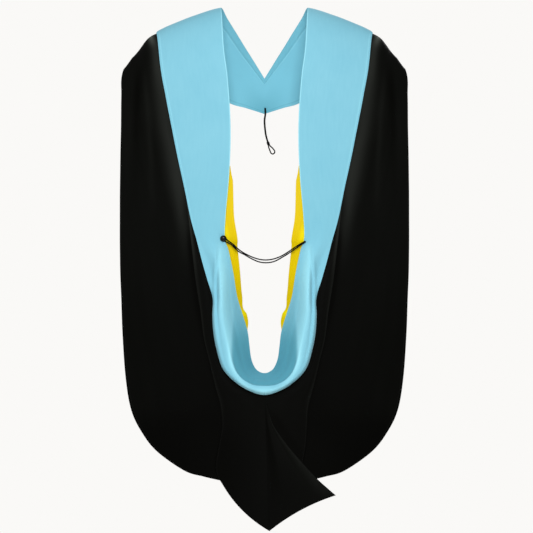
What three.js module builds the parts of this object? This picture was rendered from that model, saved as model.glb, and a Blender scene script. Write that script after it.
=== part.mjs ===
// Academic hood for a doctor's gown, in the form it takes when it is worn and seen from behind.
//
// A velvet band runs from the front neck seam over each shoulder, down the back, and turns
// into a rolled pocket at the bottom of the opening. Black cloth hangs from its outer edge:
// two wide panels, the cowl over them, and a tail whose right half is turned over as a flap.
// Gold satin shows inside the opening. A looped cord buttons the two bands together.
//
// Millimetres, +Z up. The wearer's back faces -Y, so +X is to the right for a viewer behind.
// The origin is midway between the two neck peaks, at their height.

import * as THREE from 'three';

// Driving dimensions
const HOOD_LENGTH = 1200;       // neck peaks down to the tip of the tail
const HALF_WIDTH = 334;         // middle of the back out to the hem of a side panel
const BACK_DEPTH = 112;         // shoulder line back to the shoulder blades, at the middle
const FRONT_DEPTH = 95;         // shoulder line forward to the chest, at the middle
const SHOULDER_ROUND = 165;     // height over which the cloth turns over the shoulder
const BACK_WRAP = 0.55;         // share of the back's depth lost at the side hems
const FRONT_WRAP = 0.35;        // the same at the front
const HANG_LEAN = 0.02;         // how far the hanging cloth leans out for each unit of drop
const ROLL_RISE = 27;           // crest of the rolled rim above the back
const ROLL_FALL = 46;           // inner edge of the rolled rim below the back
const ROLL_CREST = 0.64;        // share of the band over which it falls that far
const ROLL_REACH = 0.34;        // how far the crest's rounding reaches to each side
const ROLL_SQUARENESS = 6;      // how squarely the rim's flat face turns down at its outer edge
const VELVET_WALL = 2.2;
const SHELL_WALL = 1.4;
const SATIN_WALL = 1.0;
const LAYER_GAP = 0.9;          // clear space between two layers of cloth
const LINING_GAP = 1.3;         // the same between the band and the lining under it
const SEAM_GAP = 0.4;           // clear space between two pieces that meet at a seam
const HEM_WALL = 1.8;           // extra thickness of the turned edge along the neckline
const HEM_WIDTH = 0.16;         // share of the band that the turned edge covers
const COWL_PUFF = 1.5;            // how far the cowl swells between its edges
const FLAP_PUFF = 5;            // the same for the turned flap of the tail
const SEAM_TOP = 0.73;          // where the tail's seam begins, as a share of the length
const SEAM_LEAN = 0.126;        // share of the half width it leans right for a share of length
const LINING_TUCK = 0.14;       // share of the band that overlaps the lining

const BUTTON_DIAMETER = 15;
const BUTTON_HEIGHT = 5.2;
const SHANK_DIAMETER = 5.4;
const SHANK_HEIGHT = 3.6;
const BUTTON_ROW = 12;          // row of the band's table that the button is sewn on
const BUTTON_ACROSS = 0.05;     // how far across the band it sits
const CORD_DIAMETER = 3;
const KNOT_DIAMETER = 7;
const BACK_KNOT_LENGTH = 13;
const FRONT_KNOT_LENGTH = 8;
const PART_GAP = 0.3;           // clear space between hard pieces and what carries them

// Grid counts of the cloth
const ROUND_PITCH = 28;         // longest step round the shoulder
const BAND_PITCH = 34;          // longest step along the hanging band
const HANG_PITCH = 52;          // longest step down a hanging black piece
const BAND_COLUMNS = [0, 0.1, 0.16, 0.28, 0.42, 0.54, 0.64, 0.74, 0.81, 0.91, 1];
const PANEL_COLUMNS = 10;
const COWL_COLUMNS = 6;
const SHOULDER_ROW = 5;         // row of the band's table where it turns a corner over the shoulder
const PANEL_HANG_ROW = 6;       // row of the panel's table below which both its edges hang
const LINING_COLUMNS = 3;
const LINING_STEPS = 18;
const BUTTON_SIDES = 16;
const KNOT_SIDES = 12;
const CORD_SIDES = 8;

const LEFT = -1;
const RIGHT = 1;
const FRONT = -1;
const BACK = 1;

// Each table names its columns once. Out is a share of the half width, down a share of the length.
function table(columns, rows) {
  return rows.map((row) => Object.fromEntries(columns.map((name, i) => [name, row[i]])));
}

// Top outline of the shoulder, from the neck peak to the side hem
const SHOULDER = table(['out', 'down'], [
  [0.298, 0.0],
  [0.498, 0.0165],
  [0.677, 0.0365],
  [0.814, 0.0575],
  [0.924, 0.093],
  [1.0, 0.119],
]);

// Velvet band, from the front neck seam to the middle seam of the rolled rim
const BAND = table(['innerOut', 'innerDown', 'outerOut', 'outerDown', 'side', 'roll'], [
  [0.0, 0.135, 0.0, 0.203, FRONT, 0],
  [0.075, 0.101, 0.124, 0.192, FRONT, 0],
  [0.149, 0.068, 0.243, 0.182, FRONT, 0],
  [0.224, 0.034, 0.395, 0.161, FRONT, 0],
  [0.268, 0.013, 0.563, 0.123, FRONT, 0],
  [0.298, 0.0, 0.745, 0.048, BACK, 0],
  [0.282, 0.066, 0.718, 0.108, BACK, 0],
  [0.254, 0.131, 0.68, 0.169, BACK, 0],
  [0.236, 0.2, 0.639, 0.228, BACK, 0],
  [0.233, 0.263, 0.596, 0.288, BACK, 0],
  [0.245, 0.33, 0.551, 0.345, BACK, 0],
  [0.267, 0.397, 0.507, 0.404, BACK, 0.01],
  [0.273, 0.442, 0.463, 0.448, BACK, 0.08],
  [0.249, 0.464, 0.429, 0.485, BACK, 0.24],
  [0.217, 0.508, 0.392, 0.521, BACK, 0.48],
  [0.194, 0.552, 0.356, 0.556, BACK, 0.74],
  [0.157, 0.586, 0.358, 0.588, BACK, 0.92],
  [0.121, 0.619, 0.351, 0.621, BACK, 1],
  [0.108, 0.645, 0.33, 0.653, BACK, 1],
  [0.095, 0.67, 0.289, 0.689, BACK, 1],
  [0.07, 0.687, 0.21, 0.714, BACK, 1],
  [0.038, 0.695, 0.11, 0.732, BACK, 1],
  [0.0, 0.698, 0.0, 0.7405, BACK, 1],
]);

// Rolled rim, by row of the band's table: where its crest lies across the band, and how far its
// outer side is a flat face (1) or a round slope (0). The last row mirrors the one before the seam.
const RIM = table(['row', 'crest', 'shelf'], [
  [12, 0.64, 0],
  [13, 0.52, 0],
  [14, 0.5, 0],
  [15, 0.6, 0.4],
  [16, 0.66, 0.9],
  [17, 0.65, 1],
  [18, 0.63, 1],
  [19, 0.62, 1],
  [20, 0.69, 1],
  [21, 0.69, 1],
  [22, 0.61, 1],
  [23, 0.69, 1],
]);

// Pleats of the band that start beside the cord and run down into the rim: a crease and a ridge
const BAND_PLEATS = [
  table(['row', 'across', 'width', 'rise'], [
    [12.2, 0.2, 0.05, 0],
    [13, 0.36, 0.06, -1.6],
    [14, 0.6, 0.07, -3.2],
    [15, 0.79, 0.06, -4.2],
    [16, 0.81, 0.055, -4.6],
    [17, 0.81, 0.055, -4],
    [18, 0.82, 0.055, -2.8],
    [19, 0.83, 0.06, -1.4],
    [20, 0.85, 0.06, 0],
  ]),
  table(['row', 'across', 'width', 'rise'], [
    [12.6, 0.4, 0.05, 0],
    [13.2, 0.5, 0.06, 1.2],
    [14, 0.74, 0.07, 2.4],
    [15, 0.92, 0.06, 2.2],
    [16, 0.92, 0.06, 0.8],
    [17, 0.92, 0.06, 0],
  ]),
];

// Free edge of the satin, beside the band's inner edge. Row counts down the band's table,
// and reach is how far the satin shows past the edge, as a share of the band there.
const LINING = table(['row', 'reach'], [
  [9.6, 0.01],
  [10, 0.09],
  [11, 0.24],
  [12, 0.46],
  [13, 0.36],
  [14, 0.287],
  [15, 0.256],
  [15.6, 0.137],
  [16, 0.18],
  [16.4, 0.142],
  [16.9, 0.035],
]);

// Side panel, from its tapered front end over the shoulder to the hem beside the tail
const PANEL = table(['innerOut', 'innerDown', 'outerOut', 'outerDown', 'side'], [
  [0.36, 0.158, 0.46, 0.166, FRONT],
  [0.5, 0.132, 0.72, 0.172, FRONT],
  [0.62, 0.092, 0.93, 0.166, FRONT],
  [0.711, 0.041, 0.988, 0.123, BACK],
  [0.691, 0.104, 0.992, 0.167, BACK],
  [0.649, 0.169, 0.993, 0.225, BACK],
  [0.595, 0.253, 0.997, 0.301, BACK],
  [0.53, 0.33, 1.0, 0.397, BACK],
  [0.471, 0.397, 0.998, 0.492, BACK],
  [0.405, 0.487, 0.99, 0.559, BACK],
  [0.343, 0.579, 0.979, 0.636, BACK],
  [0.288, 0.655, 0.958, 0.712, BACK],
  [0.237, 0.732, 0.92, 0.77, BACK],
  [0.213, 0.789, 0.852, 0.81, BACK],
  [0.216, 0.827, 0.744, 0.848, BACK],
  [0.226, 0.856, 0.553, 0.885, BACK],
  [0.243, 0.885, 0.423, 0.896, BACK],
  [0.26, 0.904, 0.313, 0.903, BACK],
]);

// Folds of a side panel, by row of its table: a soft roll beside the band, and outside it a
// shallow valley
const PANEL_FOLDS = [
  table(['row', 'across', 'width', 'rise'], [
    [2, 0.26, 0.2, 0],
    [3, 0.26, 0.18, 2],
    [4, 0.27, 0.17, 4],
    [5, 0.28, 0.17, 5],
    [6, 0.28, 0.16, 4.5],
    [7, 0.27, 0.15, 3],
    [8, 0.27, 0.14, 1.2],
    [9, 0.27, 0.14, 0],
  ]),
  table(['row', 'across', 'width', 'rise'], [
    [2.4, 0.66, 0.13, 0],
    [3.5, 0.66, 0.13, -3],
    [5, 0.7, 0.14, -3],
    [6, 0.74, 0.13, -2],
    [7.5, 0.8, 0.12, 0],
  ]),
];

// Cowl and the left half of the tail. An inner edge at 0 follows the tail's seam. Bow pushes a
// row past its straight line in the plane of the back, swell says how much of the puff the row
// has, and under is the share of the row that lies flat beneath the band.
const COWL_LEFT = table(['innerOut', 'innerDown', 'outerOut', 'outerDown', 'bow', 'swell', 'under'], [
  [0.507, 0.336, 0.552, 0.33, 0, 0, 0.95],
  [0.467, 0.397, 0.526, 0.397, 0, 0.2, 0.85],
  [0.402, 0.454, 0.501, 0.461, 0, 0.5, 0.76],
  [0.334, 0.522, 0.476, 0.521, 0, 0.8, 0.5],
  [0.306, 0.594, 0.443, 0.579, 0, 1, 0.46],
  [0.282, 0.65, 0.42, 0.63, 0, 1, 0.55],
  [0.222, 0.692, 0.385, 0.672, 0, 1, 0.6],
  [0.125, 0.72, 0.343, 0.722, 0, 1, 0.46],
  [0.0, 0.73, 0.306, 0.762, 0, 0.9, 0.32],
  [0.0, 0.78, 0.296, 0.8, 0, 0.8, 0.04],
  [0.0, 0.846, 0.322, 0.84, 0, 0.7, 0],
  [0.0, 0.9, 0.341, 0.875, 0.04, 0.6, 0],
  [0.0, 0.955, 0.328, 0.893, 0.07, 0.4, 0],
  [0.0, 1.0, 0.301, 0.905, 0.075, 0.2, 0],
]);

const COWL_RIGHT = table(['innerOut', 'innerDown', 'outerOut', 'outerDown', 'bow', 'swell', 'under'], [
  [0.507, 0.336, 0.552, 0.33, 0, 0, 0.95],
  [0.467, 0.397, 0.526, 0.397, 0, 0.2, 0.85],
  [0.402, 0.454, 0.501, 0.461, 0, 0.5, 0.76],
  [0.334, 0.522, 0.476, 0.521, 0, 0.8, 0.5],
  [0.306, 0.594, 0.443, 0.579, 0, 1, 0.46],
  [0.282, 0.65, 0.42, 0.63, 0, 1, 0.55],
  [0.222, 0.692, 0.385, 0.672, 0, 1, 0.6],
  [0.125, 0.72, 0.343, 0.722, 0, 1, 0.46],
  [0.0, 0.73, 0.306, 0.762, 0, 0.6, 0.32],
  [0.0, 0.78, 0.296, 0.8, 0, 0.2, 0.04],
  [0.0, 0.82, 0.29, 0.83, 0, 0, 0],
  [0.0, 0.85, 0.272, 0.862, 0, 0, 0],
  [0.0, 0.88, 0.25, 0.89, 0, 0, 0],
]);

// Right half of the tail, turned over: its inner edge is the seam, its outer edge the fold
const FLAP = table(['innerOut', 'innerDown', 'outerOut', 'outerDown', 'bow', 'swell', 'under'], [
  [0.0, 0.757, 0.022, 0.76, 0, 0, 0],
  [0.0, 0.789, 0.055, 0.795, 0, 0.3, 0],
  [0.0, 0.827, 0.141, 0.831, 0, 0.7, 0],
  [0.0, 0.875, 0.251, 0.867, 0, 1, 0],
  [0.0, 0.923, 0.361, 0.9, -0.015, 0.9, 0],
  [0.0, 0.965, 0.436, 0.919, -0.03, 0.6, 0],
  [0.0, 1.0, 0.49, 0.932, -0.045, 0.4, 0],
]);

// Routes of the two cords, chosen by hand. Each cord is two strands, a knot and a loop.
const BACK_CORD = {
  upper: [[93.7, -112.9, -535.7], [85, -113.1, -541], [76, -113.9, -546.3], [58, -115.2, -558.4],
    [40.5, -116.2, -569.4], [22.7, -116.8, -576.6], [5, -117, -579.4], [-12.4, -117, -577.8],
    [-30, -117, -572], [-45.4, -117, -564.4], [-54.2, -117, -559], [-62.1, -117, -552.7]],
  lower: [[94.5, -115.7, -537.3], [86.2, -115.8, -543], [77.4, -116, -549], [59.4, -116.3, -561.6],
    [41, -116.4, -573], [22.7, -116.9, -582.6], [5, -117, -585.8], [-12.4, -117, -583.8],
    [-30, -117, -576.4], [-46.2, -117, -567], [-56.4, -117, -561.9], [-64.5, -117, -555.5]],
  loop: [[-72.1, -117, -543.3], [-77.9, -116.2, -539.2], [-83, -114.9, -535.5], [-86.8, -113.3, -532],
    [-89.6, -113, -527.6], [-93.4, -113, -525.3], [-97, -113, -525.9], [-98.8, -113, -527.7],
    [-99.2, -113, -529.8], [-98.3, -113, -532.6], [-94.9, -112.9, -535.4], [-90, -112.9, -537.1],
    [-85.1, -114.4, -539.2], [-79.8, -116.2, -542.2], [-74.3, -117, -545.6]],
  knot: [-68.2, -117, -549.3],
  knotAxis: [-0.72, 0, 0.694],
};
const FRONT_CORD = {
  left: [[0.9, 90.9, -229.4], [1.4, 90.9, -243], [-0.5, 90.9, -258], [0.2, 90.9, -273.7],
    [2.4, 90.9, -291.1], [6, 90.9, -305], [6.7, 90.9, -306.9]],
  right: [[2.2, 87.9, -229.4], [2.7, 87.9, -243], [0.8, 87.9, -258], [1.5, 87.9, -273.7],
    [3.7, 87.9, -291.1], [7.2, 87.9, -305], [7.9, 87.9, -306.6]],
  loop: [[8.7, 89.4, -315.3], [9.9, 89.4, -321], [12.4, 89.4, -327.6], [14.7, 89.4, -333],
    [18.8, 89.4, -335.6], [22.9, 89.4, -333.2], [23.4, 89.4, -328.9], [20.9, 89.4, -324.9],
    [16.9, 89.4, -320.4], [13.8, 89.4, -317.8], [11.9, 89.4, -315.6]],
  knot: [8.5, 89.4, -310.9],
  knotAxis: [0.287, 0, -0.958],
};
const STRAND_STEPS = 12;
const HANGING_STEPS = 7;
const BACK_LOOP_STEPS = 24;
const FRONT_LOOP_STEPS = 12;

const VELVET_BLUE = new THREE.MeshStandardMaterial({ color: 0x8ad0e4, roughness: 0.95, metalness: 0 });
const SHELL_BLACK = new THREE.MeshStandardMaterial({ color: 0x0e0e0d, roughness: 0.85, metalness: 0 });
const SATIN_GOLD = new THREE.MeshStandardMaterial({ color: 0xf2d512, roughness: 0.45, metalness: 0 });
const CORD_BLACK = new THREE.MeshStandardMaterial({ color: 0x0b0b0c, roughness: 0.6, metalness: 0 });
const BUTTON_BLACK = new THREE.MeshStandardMaterial({ color: 0x08080a, roughness: 0.18, metalness: 0 });

const seamOut = (down) => SEAM_LEAN * Math.max(down - SEAM_TOP, 0);

const smooth = (value) => {
  const share = THREE.MathUtils.clamp(value, 0, 1);
  return share * share * (3 - 2 * share);
};

// Smooth curve through evenly spaced values, which may change its direction at once at a corner
function through(values, at, corner = 0) {
  const last = values.length - 1;
  const i = Math.min(Math.floor(at), last - 1);
  const t = at - i;
  const before = i === corner ? i : Math.max(i - 1, 0);
  const after = i + 1 === corner ? corner : Math.min(i + 2, last);
  const [a, b, c, d] = [values[before], values[i], values[i + 1], values[after]];
  const rise = (c - a) / 2;
  const next = (d - b) / 2;
  return b + t * (rise + t * (3 * (c - b) - 2 * rise - next + t * (2 * (b - c) + rise + next)));
}

// Smooth curve through a table's rows, looked up by one of its columns
function lookUp(rows, key, column, value) {
  const keys = rows.map((row) => row[key]);
  if (value <= keys[0]) return rows[0][column];
  if (value >= keys[keys.length - 1]) return rows[rows.length - 1][column];
  const i = keys.findIndex((next) => next > value) - 1;
  return through(rows.map((row) => row[column]), i + (value - keys[i]) / (keys[i + 1] - keys[i]));
}

function shoulderHeight(out) {
  return -HOOD_LENGTH * lookUp(SHOULDER, 'out', 'down', Math.abs(out));
}

// The turn says how far round the shoulder a point lies: 0 on top, a quarter circle where
// the back or the chest begins to hang, negative at the front.
function turnOf(out, down, side) {
  const drop = Math.max(shoulderHeight(out) + HOOD_LENGTH * down, 0);
  if (drop < SHOULDER_ROUND) return side * Math.acos(1 - drop / SHOULDER_ROUND);
  return side * (Math.PI / 2 + (drop - SHOULDER_ROUND) / SHOULDER_ROUND);
}

// Point on the worn form at a distance out from the middle and a turn round the shoulder
function bodyPoint(out, turn) {
  const round = Math.min(Math.abs(turn), Math.PI / 2);
  const hang = SHOULDER_ROUND * (Math.abs(turn) - round);
  const back = BACK_DEPTH * (1 - BACK_WRAP * out * out);
  const front = FRONT_DEPTH * (1 - FRONT_WRAP * out * out);
  const depth = turn > 0 ? -back * Math.sin(round) - HANG_LEAN * hang : front * Math.sin(round);
  const drop = SHOULDER_ROUND * (1 - Math.cos(round)) + hang;
  return new THREE.Vector3(out * HALF_WIDTH, depth, shoulderHeight(out) - drop);
}

function normalOf(surface, u, v) {
  const step = 1e-3;
  const alongU = surface(u + step, v).sub(surface(u - step, v));
  const alongV = surface(u, v + step).sub(surface(u, v - step));
  return alongU.cross(alongV).normalize();
}

// Point raised off the worn form, away from the wearer
function raised(out, turn, height) {
  const inward = normalOf(bodyPoint, out, turn);
  return bodyPoint(out, turn).addScaledVector(inward, -height);
}

// Rows of a piece turned into what bodyPoint takes
function placeRows(rows) {
  return rows.map((row) => ({
    ...row,
    innerTurn: turnOf(row.innerOut, row.innerDown, row.side ?? BACK),
    outerTurn: turnOf(row.outerOut, row.outerDown, row.side ?? BACK),
  }));
}

function rowAt(rows, at, corner) {
  const inside = THREE.MathUtils.clamp(at, 0, rows.length - 1);
  const columnAt = (name) => through(rows.map((row) => row[name]), inside, corner);
  return Object.fromEntries(Object.keys(rows[0]).map((name) => [name, columnAt(name)]));
}

// The band's curves run on past the middle seam as their own mirror image
const pastSeam = BAND[BAND.length - 2];
const mirrored = { ...pastSeam, innerOut: -pastSeam.innerOut, outerOut: -pastSeam.outerOut };
const placedBand = placeRows([...BAND, mirrored]);
const placedPanel = placeRows(PANEL);

// Height of the rolled rim over the back, from its inner edge at 0 to its outer edge at 1.
// The fall from the crest to the inner edge has the same slope wherever the crest lies.
function rollHeight(across, crest, shelf) {
  const slope = smooth(Math.max(1 - Math.abs(across - crest) / ROLL_REACH, 0));
  const face = 1 - Math.max((across - crest) / (1 - crest), 0) ** ROLL_SQUARENESS;
  const fall = Math.max(crest - across, 0);
  const rise = across > crest ? THREE.MathUtils.lerp(slope, face, shelf) : slope;
  return ROLL_RISE * rise - (ROLL_FALL / ROLL_CREST) * fall * (fall > crest ? 1 : smooth(fall / crest));
}

// Height of pleats or folds at a point of the piece that has them
function pleatHeight(pleats, at, across) {
  return pleats.reduce((sum, pleat) => {
    const [middle, width, rise] = ['across', 'width', 'rise'].map((name) => lookUp(pleat, 'row', name, at));
    return sum + rise * Math.exp(-(((across - middle) / width) ** 2));
  }, 0);
}

// Outer face of the velvet band on one side, with its pleats or as the satin under it lies
function bandPoint(side, at, across, pleated = true) {
  const row = rowAt(placedBand, at, SHOULDER_ROW);
  const out = THREE.MathUtils.lerp(row.innerOut, row.outerOut, across);
  const turn = THREE.MathUtils.lerp(row.innerTurn, row.outerTurn, across);
  const [crest, shelf] = ['crest', 'shelf'].map((name) => lookUp(RIM, 'row', name, at));
  const pleats = pleated ? pleatHeight(BAND_PLEATS, at, across) : 0;
  const point = raised(out, turn, row.roll * rollHeight(across, crest, shelf) + pleats);
  return point.setX(side * (Math.max(point.x, 0) + SEAM_GAP / 2));
}

// Keeps a point on one side of the middle seam, or of the tail's leaning one further down
function holdToSide(point, side) {
  const seam = HALF_WIDTH * seamOut(-point.z / HOOD_LENGTH);
  return point.setX(seam + side * Math.max(side * (point.x - seam), SEAM_GAP / 2));
}

// A closed wall of cloth: outer face, inner face and the four edges. A piece that is sewn along
// the middle of the body is held to its own side of the seam.
function clothWall(surface, us, vs, wallAt, side = 0) {
  const positions = [];
  const hanging = normalOf(surface, us[Math.floor(us.length * 0.6)], vs[Math.floor(vs.length / 2)]);
  const flip = hanging.y > 0 ? -1 : 1;
  const columns = vs.length;
  for (const inner of [false, true]) {
    for (const u of us) {
      for (const v of vs) {
        const point = surface(u, v);
        if (inner) point.addScaledVector(normalOf(surface, u, v), -flip * wallAt(u, v));
        if (side) holdToSide(point, side);
        positions.push(point.x, point.y, point.z);
      }
    }
  }
  const indices = [];
  const back = us.length * columns;
  const quad = (a, b, c, d) => indices.push(...(flip > 0 ? [a, b, c, a, c, d] : [a, c, b, a, d, c]));
  for (let i = 0; i < us.length - 1; i++) {
    for (let j = 0; j < columns - 1; j++) {
      const corner = i * columns + j;
      quad(corner, corner + columns, corner + columns + 1, corner + 1);
      quad(back + corner, back + corner + 1, back + corner + columns + 1, back + corner + columns);
    }
    const first = i * columns;
    const last = first + columns - 1;
    quad(first, back + first, back + first + columns, first + columns);
    quad(last, last + columns, back + last + columns, back + last);
  }
  const end = (us.length - 1) * columns;
  for (let j = 0; j < columns - 1; j++) {
    quad(j, j + 1, back + j + 1, back + j);
    quad(end + j, back + end + j, back + end + j + 1, end + j + 1);
  }
  const geometry = new THREE.BufferGeometry();
  geometry.setAttribute('position', new THREE.Float32BufferAttribute(positions, 3));
  geometry.setIndex(indices);
  return geometry;
}

function evenly(from, to, count) {
  return Array.from({ length: count + 1 }, (_, i) => from + ((to - from) * i) / count);
}

// Stations down a placed table: short steps round the shoulder, longer ones where cloth hangs
function stationsOf(rows, pitch) {
  const stations = [0];
  rows.slice(1).forEach((next, i) => {
    const row = rows[i];
    const lengths = ['inner', 'outer'].map((edge) => {
      const turns = [row[`${edge}Turn`], next[`${edge}Turn`]];
      const [from, to] = [bodyPoint(row[`${edge}Out`], turns[0]), bodyPoint(next[`${edge}Out`], turns[1])];
      const round = THREE.MathUtils.clamp(turns[1], -Math.PI / 2, Math.PI / 2)
        - THREE.MathUtils.clamp(turns[0], -Math.PI / 2, Math.PI / 2);
      return Math.max((SHOULDER_ROUND * round) / ROUND_PITCH, from.distanceTo(to) / pitch);
    });
    const count = Math.max(Math.round(Math.max(...lengths)), 1);
    stations.push(...evenly(i, i + 1, count).slice(1));
  });
  return stations;
}

function piece(name, geometry, material) {
  const mesh = new THREE.Mesh(geometry, material);
  mesh.name = name;
  return mesh;
}

function velvetBand(name, side) {
  const stations = stationsOf(placedBand.slice(0, BAND.length), BAND_PITCH);
  const wall = (at, across) => {
    const turnedEdge = smooth((HEM_WIDTH - across) / 0.04) * smooth(SHOULDER_ROW - at);
    return VELVET_WALL + HEM_WALL * turnedEdge;
  };
  const face = (at, across) => bandPoint(side, at, across);
  return piece(name, clothWall(face, stations, BAND_COLUMNS, wall, side), VELVET_BLUE);
}

function satinLining(name, side) {
  const first = LINING[0].row;
  const last = LINING[LINING.length - 1].row;
  const band = (at, across) => bandPoint(side, at, across, false);
  const surface = (at, share) => {
    const across = THREE.MathUtils.lerp(-lookUp(LINING, 'row', 'reach', at), LINING_TUCK, share);
    const outward = normalOf(band, at, across);
    if (outward.y > 0) outward.negate();
    return band(at, across).addScaledVector(outward, -(VELVET_WALL + LINING_GAP));
  };
  const stations = evenly(first, last, LINING_STEPS);
  const wall = clothWall(surface, stations, evenly(0, 1, LINING_COLUMNS), () => SATIN_WALL);
  return piece(name, wall, SATIN_GOLD);
}

function sidePanel(name, side) {
  const below = -(VELVET_WALL + SHELL_WALL + 2 * LAYER_GAP);
  const surface = (at, across) => {
    const row = rowAt(placedPanel, at);
    const out = THREE.MathUtils.lerp(row.innerOut, row.outerOut, across);
    const down = THREE.MathUtils.lerp(row.innerDown, row.outerDown, across);
    const roundTurn = THREE.MathUtils.lerp(row.innerTurn, row.outerTurn, across);
    const hangTurn = turnOf(out, down, BACK);
    const turn = THREE.MathUtils.lerp(roundTurn, hangTurn, smooth(at - PANEL_HANG_ROW));
    const point = raised(out, turn, below + pleatHeight(PANEL_FOLDS, at, across));
    return point.setX(side * point.x);
  };
  const stations = stationsOf(placedPanel, HANG_PITCH);
  const wall = clothWall(surface, stations, evenly(0, 1, PANEL_COLUMNS), () => SHELL_WALL);
  return piece(name, wall, SHELL_BLACK);
}

// Black cloth over the panels: a straight line across each row, bowed and swelling between its edges
function cowlPiece(name, side, rows, height, puff) {
  const placed = placeRows(rows);
  const surface = (at, across) => {
    const row = rowAt(placed, at);
    const middle = 4 * across * (1 - across);
    const shown = (across - row.under) / (1 - row.under);
    const swell = smooth(3 * shown) * smooth(3 * (1 - shown));
    const reach = (row.outerOut - row.innerOut) * HALF_WIDTH;
    const fall = (row.outerDown - row.innerDown) * HOOD_LENGTH;
    const inner = row.innerOut + side * seamOut(row.innerDown);
    const bow = row.bow * middle;
    const out = THREE.MathUtils.lerp(inner, row.outerOut, across) - (bow * fall) / HALF_WIDTH;
    const down = THREE.MathUtils.lerp(row.innerDown, row.outerDown, across);
    const turn = turnOf(out, down, BACK) + (bow * reach) / SHOULDER_ROUND;
    const point = raised(out, turn, height + puff * row.swell * swell);
    return point.setX(side * (point.x + SEAM_GAP / 2));
  };
  const stations = stationsOf(placed, BAND_PITCH);
  const wall = clothWall(surface, stations, evenly(0, 1, COWL_COLUMNS), () => SHELL_WALL, side);
  return piece(name, wall, SHELL_BLACK);
}

// Turned piece of a profile of [radius, height] pairs, standing at a place along a direction
function turnedPiece(name, profile, place, direction, material, sides) {
  const points = profile.map(([radius, height]) => new THREE.Vector2(radius, height));
  const mesh = piece(name, new THREE.LatheGeometry(points, sides), material);
  mesh.position.copy(place);
  mesh.quaternion.setFromUnitVectors(new THREE.Vector3(0, 1, 0), direction.clone().normalize());
  return mesh;
}

function button() {
  const face = (row, across) => bandPoint(LEFT, row, across);
  const normal = normalOf(face, BUTTON_ROW, BUTTON_ACROSS);
  if (normal.y > 0) normal.negate();
  const place = face(BUTTON_ROW, BUTTON_ACROSS).addScaledVector(normal, PART_GAP);
  const radius = BUTTON_DIAMETER / 2;
  const dome = evenly(0, Math.PI / 2, 5).map((angle) => [
    radius * Math.cos(angle),
    SHANK_HEIGHT + 1 + (BUTTON_HEIGHT - 1) * Math.sin(angle),
  ]);
  dome[dome.length - 1][0] = 0;
  const shank = SHANK_DIAMETER / 2;
  const profile = [[0, 0], [shank, 0], [shank, SHANK_HEIGHT], [radius, SHANK_HEIGHT], ...dome];
  return turnedPiece('button', profile, place, normal, BUTTON_BLACK, BUTTON_SIDES);
}

function knot(name, place, axis, length) {
  const half = length / 2;
  const radius = KNOT_DIAMETER / 2;
  const lower = [[0, -half], [radius * 0.7, -half], [radius, -half * 0.6]];
  const upper = [[radius, half * 0.6], [radius * 0.7, half], [0, half]];
  const profile = [...lower, [radius * 0.9, 0], ...upper];
  const [at, along] = [new THREE.Vector3(...place), new THREE.Vector3(...axis)];
  return turnedPiece(name, profile, at, along, CORD_BLACK, KNOT_SIDES);
}

function cord(name, route, steps) {
  const path = new THREE.CatmullRomCurve3(route.map((point) => new THREE.Vector3(...point)));
  const corners = evenly(0, 2 * Math.PI, CORD_SIDES).slice(0, CORD_SIDES);
  const radius = CORD_DIAMETER / 2;
  const rim = corners.map((angle) => new THREE.Vector2(radius * Math.cos(angle), radius * Math.sin(angle)));
  const settings = { steps, extrudePath: path, bevelEnabled: false };
  return piece(name, new THREE.ExtrudeGeometry(new THREE.Shape(rim), settings), CORD_BLACK);
}

const cowlBelow = -(VELVET_WALL + LAYER_GAP);
const flapAbove = cowlBelow + SHELL_WALL + LAYER_GAP;

const hood = new THREE.Group();
hood.add(velvetBand('velvet_left', LEFT), velvetBand('velvet_right', RIGHT));
hood.add(satinLining('lining_left', LEFT), satinLining('lining_right', RIGHT));
hood.add(sidePanel('panel_left', LEFT), sidePanel('panel_right', RIGHT));
hood.add(cowlPiece('cowl_left', LEFT, COWL_LEFT, cowlBelow, COWL_PUFF));
hood.add(cowlPiece('cowl_right', RIGHT, COWL_RIGHT, cowlBelow, COWL_PUFF));
hood.add(cowlPiece('tail_flap', RIGHT, FLAP, flapAbove, FLAP_PUFF));
hood.add(button());
hood.add(cord('back_cord_upper', BACK_CORD.upper, STRAND_STEPS));
hood.add(cord('back_cord_lower', BACK_CORD.lower, STRAND_STEPS));
hood.add(cord('back_cord_loop', BACK_CORD.loop, BACK_LOOP_STEPS));
hood.add(knot('back_knot', BACK_CORD.knot, BACK_CORD.knotAxis, BACK_KNOT_LENGTH));
hood.add(cord('front_cord_left', FRONT_CORD.left, HANGING_STEPS));
hood.add(cord('front_cord_right', FRONT_CORD.right, HANGING_STEPS));
hood.add(cord('front_cord_loop', FRONT_CORD.loop, FRONT_LOOP_STEPS));
hood.add(knot('front_knot', FRONT_CORD.knot, FRONT_CORD.knotAxis, FRONT_KNOT_LENGTH));

export default hood;
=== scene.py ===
"""Looks of an academic hood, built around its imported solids.

The hood is in its worn form and is seen from behind the wearer. Metres, +Z up, the wearer's back
faces -Y. The origin is midway between the two neck peaks. Every cloth piece is a closed wall of its
own: velvet bands with a rolled rim, gold satin beside them, black panels, cowl and tail.
"""

import logging
import math
from collections.abc import Callable, Sequence
from dataclasses import dataclass, field
from enum import Enum

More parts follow.
